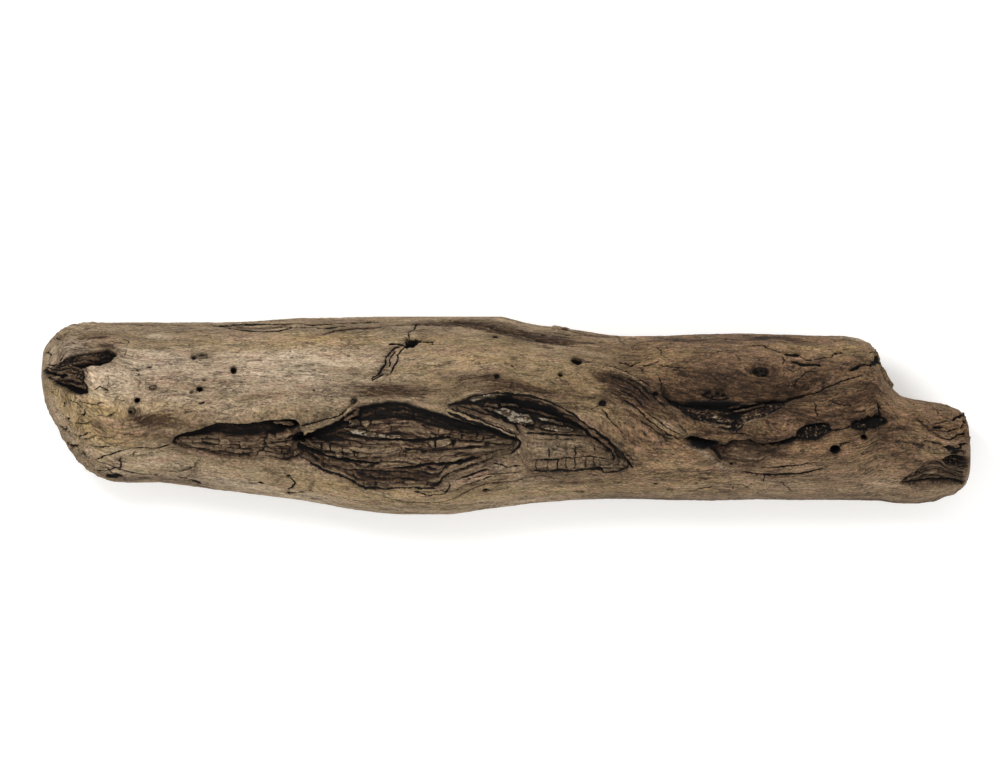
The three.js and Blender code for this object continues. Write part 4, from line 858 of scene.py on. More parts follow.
def carveHollow(skin, hollow, seed):
    # v is the share of the way from the near edge to the far one. The depth is a table over
    # x and v, times an s-curve in from each edge. Along lines of even v run layers of wood:
    # noise stretched along them, cut by dark gaps where a second noise is close to 0. A brick
    # pattern over x and v makes the cubes of cracked wood, each a little higher or lower.
    form = rotForm
    near, far = edgesOf(hollow)
    area = skin.window(np.vstack([near, far]), form["reach"])
    x, w = skin.shakenX[area], skin.shakenW[area]
    nearW = np.interp(x, np.maximum.accumulate(near[:, 0]), near[:, 1])
    farW = np.interp(x, np.maximum.accumulate(far[:, 0]), far[:, 1])
    width = np.maximum(farW - nearW, 0.05)
    v = (w - nearW) / width
    table = np.array(hollow["floor"], float)
    shares = hollow["shares"]
    floor = acrossShares(v, shares, [np.interp(x, table[:, 0], table[:, i + 1]) for i in range(len(shares))])
    nearWall, farWall = hollow["walls"]
    ends = rise((x - near[0, 0]) / form["tip"]) * rise((near[-1, 0] - x) / form["tip"])
    wall = rise((w - nearW) / nearWall) * rise((farW - w) / farWall) * ends
    inner = rise((w - nearW) / (nearWall + form["inner"])) * rise((farW - w) / (farWall + form["inner"])) * ends
    nearLip, nearRoll, farLip, farRoll = hollow["lips"]
    lip = np.where(v < 0.5, nearLip * bell(np.maximum(nearW - w, 0) / nearRoll),
                   farLip * bell(np.maximum(w - farW, 0) / farRoll)) * ends
    across = v * np.percentile(width, 75)
    q = across + grainNoise(form["bend"], x, across, seed=seed)
    grain = {name: grainNoise(kind, x, q, seed=seed) for name, kind in form["grains"].items()}
    plates, strings = grain["plates"], grain["strings"]
    plateGap, seamGap, breakGap = form["gapWidths"]
    gaps = bell(plates / plateGap) + form["seams"] * bell(grain["seams"] / seamGap)
    gaps = gaps * rise(0.28 + 1.4 * grain["openPlaces"])
    snapped = bell(grain["breaks"] / breakGap) * rise(grain["breakPlaces"] * 2.8)
    gaps = np.maximum(gaps, snapped)  # short breaks across the layers
    height, length, strength, upTo = hollow["blocks"]
    rowPlace = q / height + form["rowWavering"] * grain["rowWaver"]
    row = np.floor(rowPlace)
    waver = form["jointWavering"] * noise(x / 9, row * 3.1, 0 * x, seed + 23)
    blockPlace = x / length + form["rowShift"] * row + waver
    block = np.floor(blockPlace)
    toRow = np.minimum(rowPlace - row, row + 1 - rowPlace) * height
    toBlock = np.minimum(blockPlace - block, block + 1 - blockPlace) * length
    cracked = strength * rise((upTo + 0.05 - v) / 0.1)
    rowJoint, blockJoint = form["jointWidths"]
    joint = np.maximum(bell(toRow / rowJoint), bell(toBlock / blockJoint)) * rise(0.8 + grain["jointPlaces"])
    lift = noise(row * 5.3, block * 7.7, 0 * x, seed + 27)  # one draw for each cube
    crumbs = grainNoise(form["crumbs"], x, w, seed=seed)
    fibres, grit = hollow["fibres"], hollow["grit"]
    skin.sunk[area] = np.maximum(skin.sunk[area], lip + np.maximum(floor - lip, 0) * wall)
    texture = (fibres * (form["plateHeight"] * plates + form["stringHeight"] * strings - form["gapDepth"] * gaps)
               + cracked * (form["cubeHeight"] * lift - form["jointDepth"] * joint)
               + grit * form["crumbHeight"] * crumbs)
    skin.relief[area] += inner * texture
    # the wood's own tone, with painted shade where the light is lowest, under the lips
    light = acrossShares(v, shares, hollow["light"])
    dim = form["dimmest"] + (1 - form["dimmest"]) * rise(light / form["black"])
    layers = form["tintLight"] * grain["tint"] + form["stringLight"] * strings + form["gapLight"] * gaps
    cubes = form["cubeLight"] * lift + form["jointLight"] * joint
    light = light + dim * (fibres * layers + cracked * cubes + grit * form["crumbLight"] * (rise(crumbs - 0.1) - 0.15))
    covered = wall > 0.2
    skin.tones["layer"][area] = np.where(covered, np.clip(light, 0, 1), skin.tones["layer"][area])
    sheet = np.stack([x, q, 0 * x + seed], axis=-1)
    skin.layerPlace[area] = np.where(wall[..., None] > 0.02, sheet, skin.layerPlace[area])
    skin.paint(area, "rot", rise(wall * 1.4))
    # painted shade with dirt: black in the joints between cubes and the gaps between layers
    dirtAndShade = form["jointDirtAndShade"] * cracked * joint + form["gapDirtAndShade"] * fibres * gaps
    skin.paint(area, "dark", inner * np.clip(dirtAndShade, 0, form["mostDirtAndShade"]))
    pale = form["crumbPale"] * inner * max(grit - 0.2, 0) * rise((crumbs - 0.2) / 0.6)
    skin.paint(area, "pale", pale * rise(light / form["black"]))


# How planks and flakes are made: grains as in rotForm, lengths in millimetres.
plankForm = {
    "grains": {"edge": (4, 2, 2, 1), "rough": (7, 0.8, 3, 0), "split": (8, 1.1, 1, 3)},
    "crust": (5, 0.9, 2, 2), "crustPits": (1.5, 0.8, 2, 4),
    "ragged": 0.4, "slope": 0.7, "roughHeight": 0.25, "splitDepth": 0.4, "splitWidth": 0.1, "crustHeight": 0.5,
    "overSkin": 0.7,  # a plank in a hollow stands no higher than this above the skin
    # the gap beside a plank is painted dark: painted shade with dirt
    "gapAt": 0.45, "gapWidth": 0.4,  # the dark gap beside a plank
    "gapDirtAndShade": 0.6, "splitDirtAndShade": 0.55, "crustDirt": 0.5, "bleached": 0.25, "streaked": 0.2,
    "firstSeed": 900, "seedStep": 3,
}


def raisePlank(skin, plank, seed):
    # A flat-topped strip: its full height inside half its width, an s-curve down at its edges,
    # thinner towards both ends, with a fibrous top and a dark gap, painted shade with dirt, along its sides.
    form = plankForm
    points, width, height, light = plank
    area, away, share = skin.line(curved(lookDown(points)), width + 1)
    taper = np.clip(np.minimum(share, 1 - share) * 5 + 0.35, 0, 1) if len(points) > 2 else 1.0
    x, w = skin.shakenX[area], skin.shakenW[area]
    grain = {name: grainNoise(kind, x, w, seed=seed) for name, kind in form["grains"].items()}
    half = width / 2 * taper * (1 + form["ragged"] * grain["edge"])
    top = rise((half - away) / min(form["slope"], width / 3) + 0.5)
    rough = grain["rough"]
    split = bell(grain["split"] / form["splitWidth"]) * rise((width - 1) / 1.5)
    tall = np.minimum(height, skin.sunk[area] + form["overSkin"]) if light >= 0 else height
    skin.relief[area] += top * (tall + (form["roughHeight"] * rough - form["splitDepth"] * split) * min(height, 2))
    within = np.clip(skin.tones["rot"][area], 0, 1)
    gap = bell((away - half - form["gapAt"]) / form["gapWidth"])
    # painted shade with dirt in the gap beside the plank and in its splits
    skin.paint(area, "dark", form["gapDirtAndShade"] * within * gap * min(height / 1.6, 1))
    skin.paint(area, "dark", form["splitDirtAndShade"] * within * top * split)
    if light < 0:
        skin.paint(area, "grain", top)
        skin.tones["bleach"][area] += form["bleached"] * top
    else:
        tone = skin.tones["layer"][area]
        fresh = np.clip(min(light, 1) + form["streaked"] * rough, 0, 1)
        skin.tones["layer"][area] = tone * (1 - top) + fresh * top
    if light > 1:
        crust = rise(0.4 + 1.6 * grainNoise(form["crust"], x, w, seed=seed))
        crust = crust * rise(0.7 + 1.6 * grainNoise(form["crustPits"], x, w, seed=seed))
        skin.relief[area] += form["crustHeight"] * top * crust
        skin.paint(area, "pale", top * crust * min(light - 0.6, 1))
        skin.paint(area, "dark", form["crustDirt"] * top * (1 - crust))


# How cracks are cut. The waver is a kind of noise, and widths are millimetres.
crackForm = {
    "waver": (2.3, 2.3, 1, 341), "thinnest": 0.75,
    "curvedOver": 1.0,  # a wider crack runs smoothly through its points, and a thinner one breaks at them
    "reach": 1.4, "bellWidth": 0.62,  # shares of the crack's width
    "taper": 7, "darkFrom": 0.12, "darkOver": 0.5,
}


def cutCrack(skin, crack):
    # A groove with a bell-shaped section, thinner towards both ends.
    form = crackForm
    points, width, depth, dark = crack
    line = lookDown(points)
    line = curved(line) if width > form["curvedOver"] else line
    width = max(width, form["thinnest"])
    area, away, share = skin.line(line, width * form["reach"])
    taper = np.clip(np.minimum(share, 1 - share) * form["taper"], 0, 1) ** 0.5
    uneven = 0.75 + 0.35 * grainNoise(form["waver"], skin.x[area], skin.shakenW[area])
    groove = bell(away / (form["bellWidth"] * width * uneven * (0.45 + 0.55 * taper))) * taper
    skin.relief[area] -= depth * groove
    # painted shade with dirt: dark where the groove is deep
    skin.paint(area, "dark", rise((groove - form["darkFrom"]) / form["darkOver"]) * dark)


# The section of a hole, in shares of its radius: where its edge, its rim and the dark begin, and
# how wide each is. The halo is a darker ring around it.
holeForm = {
    "edge": 1.12, "slope": 0.36, "rimAt": 1.35, "rimWidth": 0.28, "darkEdge": 1.16, "darkSlope": 0.26,
    "haloWidth": 0.6, "halo": 0.5, "reach": 2.2,
}


def drillHole(skin, hole):
    # In the ellipse's own measure, where 1 is its edge, an s-curve goes down from outside the
    # edge to the floor, and a bell-shaped rim stands around it.
    form = holeForm
    x, y, long, short, degrees, depth, rim, dark = hole
    centre = lookDown([(x, y)])[0]
    area = skin.window(np.array([centre]), form["reach"] * max(long, short) + 1)
    turn = math.radians(degrees)
    dx = skin.x[area] - centre[0] + 0.5 * (skin.shakenX[area] - skin.x[area])
    dw = 0.5 * (skin.shakenW[area] + skin.w[area[1]]) - centre[1]
    away = np.hypot((dx * math.cos(turn) + dw * math.sin(turn)) / long,
                    (dw * math.cos(turn) - dx * math.sin(turn)) / short)
    bowl = rise((form["edge"] - away) / form["slope"])
    skin.relief[area] += rim * bell((away - form["rimAt"]) / form["rimWidth"]) - depth * bowl
    # painted shade with dirt inside the pit
    skin.paint(area, "dark", dark * rise((form["darkEdge"] - away) / form["darkSlope"]))
    skin.tones["stainAndShade"][area] += form["halo"] * dark * bell(np.maximum(away - 1, 0) / form["haloWidth"])


# How washes and brushed lines are made: kinds of noise, their strengths, and how far the tone
# reaches, in half lengths or half widths.
toneForm = {
    "raggedEdge": (22, 4, 3, 311), "ragged": 0.35, "washReach": 2.4,
    "streaks": (9, 1.1, 3, 351), "streaked": 0.35, "brushReach": 2.2,
}


def washTone(skin, name, wash):
    # A bell-shaped patch with a ragged edge.
    x, y, long, short, strength = wash
    centre = lookDown([(x, y)])[0]
    area = skin.window(np.array([centre]), toneForm["washReach"] * max(long, short))
    px, pw = skin.shakenX[area], skin.shakenW[area]
    ragged = toneForm["ragged"] * grainNoise(toneForm["raggedEdge"], px, pw)
    away = np.hypot((px - centre[0]) / long, (pw - centre[1]) / short) * (1 + ragged)
    skin.tones[name][area] += strength * bell(away)


def brushTone(skin, brush):
    # A bell-shaped band along a line, thinner towards both ends and streaked along its length.
    points, half, name, strength = brush
    area, away, share = skin.line(curved(lookDown(points)), toneForm["brushReach"] * half)
    taper = np.clip(np.minimum(share, 1 - share) * 4, 0.1, 1) ** 0.5
    streaked = 1 + toneForm["streaked"] * grainNoise(toneForm["streaks"], skin.shakenX[area], skin.shakenW[area])
    skin.tones[name][area] += strength * bell(away / (half * taper)) * streaked


# The way of the grain. Each eye is a hollow or knot that it parts around: x, y, half length, half
# width, strength. The swirl gives its place, its step, half its length and half its width.
grainWay = {
    "eyes": ((-22, -13, 95, 22, 0.55), (115, -6, 42, 15, 0.5), (-186.6, 2, 6, 4, 0.7), (127, 21.3, 9, 5, 0.6),
             (48.3, 5.9, 5, 3, 0.6), (-208, 21, 16, 11, 0.55), (149.8, 14.5, 5, 3.5, 0.6), (35, 26.5, 6, 4, 0.5)),
    "swirl": ((74, 4), 8, 26, 24),
    "waver": (70, 26, 2, 401), "wavering": 2.2,
}


def flow(skin):
    # The grain's own way around the log: far from a hollow or knot it is w; near one, lines of
    # even value part and pass around it. Over the swirl it steps sideways along an s-curve.
    x, w = skin.x, np.broadcast_to(skin.w, skin.x.shape)
    way = w.copy()
    for eyeX, eyeY, long, short, strength in grainWay["eyes"]:
        centre = lookDown([(eyeX, eyeY)])[0]
        dw = w - centre[1]
        way -= dw * strength / (1 + ((x - eyeX) / long) ** 4 + (dw / short) ** 2)
    place, step, long, short = grainWay["swirl"]
    swirl = lookDown([place])[0]
    way += step * np.tanh((x - swirl[0]) / long) * bell((w - swirl[1]) / short)
    return way + grainWay["wavering"] * grainNoise(grainWay["waver"], x, w)


# What the weather has done to the skin: grains as in rotForm, heights and depths in millimetres.
weathering = {
    "grains": {
        "dents": (34, 15, 3, 51), "folds": (48, 4.5, 2, 57), "strings": (20, 1.5, 3, 61),
        "pimples": (2.2, 1.3, 2, 67), "checks": (8, 0.8, 1, 71), "fineChecks": (3, 0.7, 1, 73),
        "crowding": (30, 12, 2, 75), "broken": (7, 3.4, 3, 81), "clefts": (11, 4, 1, 87),
        "cleftPlaces": (9, 6, 1, 89), "splits": (75, 7, 2, 93), "splitPlaces": (45, 12, 1, 97),
    },
    "dents": 0.5, "folds": 0.28, "strings": 0.15, "pimples": 0.1, "checks": 0.4,
    "broken": 1.05, "clefts": 1.1, "splits": 1.3,
    "cleftWidth": 0.07, "splitWidth": 0.06,  # as shares of their noise
    "checksFrom": 0.78, "checksOver": 0.45,  # the noise from which the skin is checked, and the change from there
    "checkDirtAndShade": 0.5, "cleftDirtAndShade": 0.6, "splitDirtAndShade": 0.85,
    # where the skin is broken: x where it starts, length of the change, strength
    "leftEnd": (-190, 26, 1.0), "rightEnd": (203, 20, 0.6), "shoulder": (150, 30, 0.5), "shoulderY": (16, 8),
    "sides": (0.35, 0.3),  # how far up the skin may face where it splits, and the change from there
}


def weather(skin, way):
    # Fine relief over the whole skin: broad dents, folds and strings along the grain, short dark
    # checks, a rougher, broken surface towards both ends, and long drying splits in the sides.
    form = weathering
    x = skin.x
    radius = logForm["meanRadius"]
    turned = math.pi / 2 - way / radius
    y, z = radius * np.cos(turned), radius * np.sin(turned)
    y = y + skin.straight * (skin.place[..., 1] - y)
    z = z + skin.straight * (skin.place[..., 2] - logForm["middleHeight"] - z)
    grain = {name: grainNoise(kind, x, y, z) for name, kind in form["grains"].items()}
    checks = grain["checks"] + 0.6 * grain["fineChecks"]
    cut = rise((checks - form["checksFrom"] + 0.25 * grain["crowding"]) / form["checksOver"])
    start, change, strength = form["leftEnd"]
    rough = strength * rise((start - x) / change)
    start, change, strength = form["rightEnd"]
    rough = rough + strength * rise((x - start) / change)
    start, change, strength = form["shoulder"]
    startY, changeY = form["shoulderY"]
    rough = rough + strength * rise((x - start) / change) * rise((skin.place[..., 1] - startY) / changeY)
    cleft = bell(grain["clefts"] / form["cleftWidth"]) * rise(0.2 + grain["cleftPlaces"])
    outer = 1 - np.clip(skin.tones["rot"], 0, 1)
    facing, change = form["sides"]
    low = rise((facing - skin.normal[..., 2]) / change) * (1 - skin.endFace)
    splits = bell(grain["splits"] / form["splitWidth"]) * rise((grain["splitPlaces"] - 0.1) / 0.25)
    splits = low * outer * splits
    skin.relief -= form["splits"] * splits
    # painted shade with dirt in the drying splits
    skin.tones["dark"] = np.maximum(skin.tones["dark"], form["splitDirtAndShade"] * splits)
    lines = form["folds"] * grain["folds"] + form["strings"] * grain["strings"] + form["pimples"] * grain["pimples"]
    skin.relief += form["dents"] * grain["dents"] + outer * (lines - form["checks"] * cut)
    broken = form["broken"] * grain["broken"] - form["clefts"] * cleft
    skin.relief += outer * rough * broken * (1 - 0.6 * skin.endFace)
    # painted shade with dirt in the checks and clefts
    dirtAndShade = np.maximum(form["checkDirtAndShade"] * cut, form["cleftDirtAndShade"] * rough * cleft)
    skin.tones["dark"] = np.maximum(skin.tones["dark"], outer * dirtAndShade)


def blur(field, rows, columns):
    # A box average, over twice the given rows and columns plus one, wrapped around the log.
    padded = np.pad(field, ((rows + 1, rows), (0, 0)), mode="edge").cumsum(axis=0)
    field = (padded[2 * rows + 1:] - padded[:-2 * rows - 1]) / (2 * rows + 1)
    padded = np.pad(field, ((0, 0), (columns + 1, columns)), mode="wrap").cumsum(axis=1)
    return (padded[:, 2 * columns + 1:] - padded[:, :-2 * columns - 1]) / (2 * columns + 1)


def broadForm(skin):
    # The broad ridges and lumps that the solid has too.
    x = skin.x
    total = np.zeros(x.shape)
    for startX, startY, endX, endY, height, width in logForm["ridges"]:
        area, away, share = skin.line(lookDown([(startX, startY), (endX, endY)]), 3 * width, shaken=False)
        total[area] += height * bell(away / width)
    for middle, degrees, height, length, width in logForm["lumps"]:
        turned = np.abs(skin.angle - math.radians(degrees))
        around = logForm["meanRadius"] * np.minimum(turned, 2 * math.pi - turned) / width
        total += height * np.exp(-((x - middle) / length) ** 2 - around[None, :] ** 2)
    return total


# The tones that follow from the shape and place of the skin.
toning = {
    # tan grows towards the right and away from the near edge: where it starts, length of the change
    "tanX": (8, 75), "tanY": (-44, 30), "tanNear": 0.3, "tanGrain": (30, 9, 2, 331), "tanWavering": 0.15,
    "full": 1.5,  # the depth at which a hollow counts as a whole one
    # the halo is a darkening around a hollow: stain, with painted soft shade at its rims
    "haloBlur": (6, 5), "haloReach": 1.7, "halo": 0.6,  # the stain around a hollow; blurs are rows and columns
    # these blurs give the painted shade in low places
    "cavities": ((4, 3, 0.9, 0.6), (14, 10, 3.5, 0.4)),  # rows and columns of a blur, depth in full, share
}


def toneByPlace(skin):
    # Tan is an s-curve over x, shaken by a noise, times an s-curve over y. The darkening around a
    # hollow, stain with painted soft shade at its rims, is the hollow's own shape blurred twice, without what lies
    # inside it.
    form = toning
    startX, changeX = form["tanX"]
    startY, changeY = form["tanY"]
    upper = form["tanNear"] + (1 - form["tanNear"]) * rise((skin.place[..., 1] - startY) / changeY)
    wavering = form["tanWavering"] * grainNoise(form["tanGrain"], skin.x, skin.shakenW)
    skin.tones["tan"] += upper * rise((skin.shakenX - startX) / changeX + wavering)
    inside = np.clip(skin.sunk / form["full"], 0, 1)
    blurred = blur(blur(inside, *form["haloBlur"]), *form["haloBlur"])
    skin.tones["stainAndShade"] += form["halo"] * np.clip(form["haloReach"] * blurred, 0, 1) * (1 - inside)


def paintedCavityShade(total):
    # How far the skin lies below its own blurred self, added up over a narrow and a wide blur. The
    # material paints shade by it: darker where the skin lies low, and lighter on rot that stands out.
    tone = 0
    for rows, columns, depth, share in toning["cavities"]:
        tone = tone + np.clip((blur(total, rows, columns) - total) / depth, -1, 1) * share
    return tone


def makeLog():
    # The relief of all features, less the depth of the hollows, moves each point of the skin
    # along its normal. It fades out at both tips, and never goes past the solid's box.
    skin = Skin(logForm)
    print("log: grid of", skin.x.shape)
    for number, hollow in enumerate(hollows.values()):
        carveHollow(skin, hollow, rotForm["firstSeed"] + rotForm["seedStep"] * number)
    print("log: hollows carved")
    for number, plank in enumerate(planks):
        raisePlank(skin, plank, plankForm["firstSeed"] + plankForm["seedStep"] * number)
    rotten = skin.tones["rot"] > 0.3
    skin.relief = np.where(rotten, np.minimum(skin.relief, skin.sunk + logForm["overSkin"]), skin.relief)
    for crack in cracks:
        cutCrack(skin, crack)
    for hole in holes:
        drillHole(skin, hole)
    print("log: planks, cracks and holes made")
    for name, patches in washes.items():
        for wash in patches:
            washTone(skin, name, wash)
    for brush in brushes:
        brushTone(skin, brush)
    toneByPlace(skin)
    way = flow(skin)
    weather(skin, way)
    total = skin.relief - skin.sunk + broadForm(skin)
    tip, change = logForm["tips"]
    fade = rise((tip - np.abs(skin.x)) / change)
    total = total * np.maximum(fade, logForm["pitsAtTips"] * (total < 0))
    # painted shade: how far each point lies below its surroundings, for the material to darken
    skin.tones["cavityShade"] = paintedCavityShade(total)
    place = skin.place + skin.normal * total[..., None]
    low, high = np.array(cadBox) / metre
    place = np.clip(place, low + logForm["margin"], high - logForm["margin"])
    print("log: skin weathered")
    middle = logForm["middleHeight"]
    radius = np.hypot(place[..., 1], place[..., 2] - middle)
    turned = math.pi / 2 - way / logForm["meanRadius"]
    grainPlace = np.stack([skin.x, radius * np.cos(turned), radius * np.sin(turned)], axis=-1)
    grainPlace += skin.straight[..., None] * (place - (0, 0, middle) - grainPlace)
    sheets = {"grainPlace": grainPlace, "layerPlace": skin.layerPlace}
    material = driftwoodMaterial()
    first = 0
    for name, upTo in logForm["lengths"].items():
        last = min(int(np.searchsorted(skin.x.mean(axis=1), upTo)), len(place) - 1)
        obj = meshFromGrid(name, place, skin.tones, sheets, first, last)
        thinOut(obj, logForm["triangles"])
        obj.data.materials.append(material)
        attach(obj, "root")
        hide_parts("driftwood_log")
        print(name, "has", len(obj.data.polygons), "faces")
        first = last


def meshFromGrid(name, place, tones, sheets, first, last):
    # Quads between neighbouring rings, and at each end a fan to one closing point. Where the
    # log is cut into lengths the fan is the flat cut: its rim is sharp and is never thinned out.
    columns = place.shape[1]
    cutLeft, cutRight = first > 0, last < len(place) - 1
    ends = slice(first + (not cutLeft), last + cutRight)
    points = np.vstack([place[ends].reshape(-1, 3), place[first].mean(axis=0), place[last].mean(axis=0)]) * metre
    rows = ends.stop - ends.start
    index = np.arange(rows * columns).reshape(rows, columns)
    right = np.roll(index, -1, axis=1)
    quads = np.stack([index[:-1], right[:-1], right[1:], index[1:]], axis=-1).reshape(-1, 4)
    left = rows * columns
    fanA = np.stack([np.full(columns, left), right[0], index[0]], axis=-1)
    fanB = np.stack([np.full(columns, left + 1), index[-1], right[-1]], axis=-1)
    corners = np.concatenate([quads.ravel(), fanA.ravel(), fanB.ravel()]).astype(np.int32)
    counts = np.concatenate([np.full(len(quads), 4), np.full(2 * columns, 3)])
    starts = np.concatenate([[0], np.cumsum(counts)[:-1]]).astype(np.int32)
    mesh = bpy.data.meshes.new(name)
    mesh.vertices.add(len(points))
    mesh.vertices.foreach_set("co", points.astype(np.float32).ravel())
    mesh.loops.add(len(corners))
    mesh.loops.foreach_set("vertex_index", corners)
    mesh.polygons.add(len(counts))
    mesh.polygons.foreach_set("loop_start", starts)
    mesh.update(calc_edges=True)
    mesh.validate()
    for tone, values in tones.items():
        attribute = mesh.attributes.new(tone, "FLOAT", "POINT")
        flat = np.concatenate([values[ends].ravel(), [values[first].mean(), values[last].mean()]])
        attribute.data.foreach_set("value", np.clip(flat, -1, 1).astype(np.float32))
    for sheet, values in sheets.items():
        attribute = mesh.attributes.new(sheet, "FLOAT_VECTOR", "POINT")
        flat = np.vstack([values[ends].reshape(-1, 3), values[first].mean(axis=0), values[last].mean(axis=0)])
        attribute.data.foreach_set("vector", flat.astype(np.float32).ravel())
    obj = bpy.data.objects.new(name, mesh)
    bpy.context.scene.collection.objects.link(obj)
    rim = np.zeros(len(points), bool)
    rim[index[0]], rim[left] = cutLeft, cutLeft
    rim[index[-1]], rim[left + 1] = cutRight, cutRight
    thinned = obj.vertex_groups.new(name="thinned")
    thinned.add(np.flatnonzero(~rim).tolist(), 1.0, "REPLACE")
    edges = np.zeros(2 * len(mesh.edges), np.int32)
    mesh.edges.foreach_get("vertices", edges)
    sharp = mesh.attributes.new("sharp_edge", "BOOLEAN", "EDGE")
    sharp.data.foreach_set("value", rim[edges.reshape(-1, 2)].all(axis=1))
    return obj


def thinOut(obj, triangles):
    # Collapses the edges that matter least to the shape until so many triangles are left.
    have = sum(len(polygon.vertices) - 2 for polygon in obj.data.polygons)
    if have > triangles:
        thin = obj.modifiers.new("thin", "DECIMATE")
        thin.ratio = triangles / have
        thin.vertex_group = "thinned"
        graph = bpy.context.evaluated_depsgraph_get()
        thinned = bpy.data.meshes.new_from_object(obj.evaluated_get(graph), preserve_all_data_layers=True,
                                                  depsgraph=graph)
        obj.modifiers.clear()
        full, obj.data = obj.data, thinned
        bpy.data.meshes.remove(full)
    obj.data.polygons.foreach_set("use_smooth", np.ones(len(obj.data.polygons), bool))
    obj.data.update()


# The look of the wood. Colours are sRGB from 0 to 255. A grain is a noise: the length and width
# of its features in millimetres, its layers and its roughness. A line is thin and wavy: the
# length and width of its waves, and its thickness. A change names a grain, a line or a tone, and
# gives two of its values and what it adds, or multiplies by, at the first and at the second.
woodLook = {
    "colours": {
        "plain": (142, 121, 93), "bleach": (182, 163, 138), "yellow": (158, 132, 87), "rosy": (147, 115, 96),
        "tan": (121, 94, 67), "umber": (60, 42, 27), "mould": (118, 109, 80),
        "rotDark": (26, 18, 13), "rotBrown": (92, 68, 49), "rotLight": (158, 134, 105),
        # crevice is the near black of painted shade with dirt in low places, cracks and gaps
        "crevice": (8, 5, 4), "chalk": (176, 164, 144),
    },
    "roughness": 0.88, "specular": 0.25,
    "bumpHeight": 0.0011,  # metres
    "skinGrains": {
        "broad": (40, 12, 3, 0.6), "bands": (26, 3.2, 3, 0.65), "streaks": (6.5, 1.0, 4, 0.7),
        "specks": (1.5, 0.75, 3, 0.75), "pepper": (2.4, 0.8, 2, 0.6), "hue": (12, 2.8, 3, 0.6),
        "checkPlaces": (13, 4, 3, 0.6), "dashPlaces": (9, 5, 2, 0.5),
    },
    "skinLines": {"checks": (10, 1.9, 0.07), "dashes": (5, 1.1, 0.05)},
    "rotGrains": {"strands": (9, 0.8, 3, 0.7), "flakes": (3.2, 1.6, 3, 0.7)},
    "rotLines": {"seams": (17, 1.7, 0.1), "fineSeams": (8, 1.0, 0.1)},
    "bleachChanges": (("bands", 0.3, 0.7, -0.3, 0.35), ("broad", 0.3, 0.7, -0.3, 0.25)),
    "mottleChanges": (
        ("streaks", 0.25, 0.75, 0.6, 1.42), ("specks", 0.25, 0.75, 0.33, 1.72), ("dashes", 0.0, 1.0, 1.0, 0.5),
        ("broad", 0.3, 0.7, 0.84, 1.16), ("pepper", 0.3, 0.4, 0.45, 1.0), ("checks", 0.0, 1.0, 1.0, 0.4),
    ),
    "layerChanges": (("strands", 0.25, 0.75, -0.34, 0.34), ("flakes", 0.25, 0.75, -0.2, 0.2)),
    "crustChanges": (("flakes", 0.25, 0.75, -0.3, 0.3), ("specks", 0.3, 0.7, -0.25, 0.2)),
    "bumpShares": {"streaks": 0.6, "specks": 0.7, "checks": -0.5, "dashes": -0.4, "rotSeams": -0.7},
}


def linear(colour):
    # sRGB 0 to 255 to linear light.
    parts = [part / 255 for part in colour]
    return tuple(part / 12.92 if part <= 0.04045 else ((part + 0.055) / 1.055) ** 2.4 for part in parts) + (1,)


class Nodes:
    # Short ways to add shader nodes.
    def __init__(self, name):
        self.material = bpy.data.materials.new(name)
        self.material.use_nodes = True
        self.tree = self.material.node_tree
        self.tree.nodes.clear()

    def add(self, kind, **inputs):
        node = self.tree.nodes.new(kind)
        for name, value in inputs.items():
            self.put(node.inputs[name.replace("_", " ")], value)
        return node

    def put(self, socket, value):
        # a link where the value comes from another node, and otherwise a fixed value
        if hasattr(value, "is_output"):
            self.tree.links.new(value, socket)
        else:
            socket.default_value = value

    def attribute(self, name, output="Fac"):
        node = self.tree.nodes.new("ShaderNodeAttribute")
        node.attribute_name = name
        return node.outputs[output]

    def math(self, operation, first, second=0.0, clamp=False):
        node = self.tree.nodes.new("ShaderNodeMath")
        node.operation = operation
        node.use_clamp = clamp
        self.put(node.inputs[0], first)
        self.put(node.inputs[1], second)
        return node.outputs[0]

    def mix(self, amount, first, second, blend="MIX"):
        node = self.tree.nodes.new("ShaderNodeMix")
        node.data_type = "RGBA"
        node.blend_type = blend
        for number, value in ((0, amount), (6, first), (7, second)):
            self.put(node.inputs[number], value)
        return node.outputs[2]

    def stretch(self, vector, scale):
        node = self.tree.nodes.new("ShaderNodeVectorMath")
        node.operation = "MULTIPLY"
        self.put(node.inputs[0], vector)
        node.inputs[1].default_value = scale
        return node.outputs[0]

    def noise(self, vector, kind):
        length, width, layers, roughness = kind
        place = self.stretch(vector, (1 / length, 1 / width, 1 / width))
        node = self.add("ShaderNodeTexNoise", Vector=place, Scale=1.0, Detail=layers, Roughness=roughness)
        return node.outputs["Fac"]

    def lines(self, vector, kind):
        # 1 on thin wavy lines, where a noise passes its middle value, and 0 away from them
        length, width, thin = kind
        away = self.math("SUBTRACT", self.noise(vector, (length, width, 2, 0.5)), 0.5)
        return self.ramp(self.math("ABSOLUTE", away), 0.0, thin, 1.0, 0.0)

    def ramp(self, value, low, high, bottom=0.0, top=1.0):
        # a straight line from bottom, where the value is low, to top, where it is high
        node = self.tree.nodes.new("ShaderNodeMapRange")
        node.clamp = True
        parts = {"Value": value, "From Min": low, "From Max": high, "To Min": bottom, "To Max": top}
        for name, part in parts.items():
            self.put(node.inputs[name], part)
        return node.outputs[0]

    def changed(self, operation, value, sources, changes, clamp=False):
        # the value with each change added to it, or multiplied by it
        for name, *ramp in changes:
            value = self.math(operation, value, self.ramp(sources[name], *ramp), clamp=clamp)
        return value


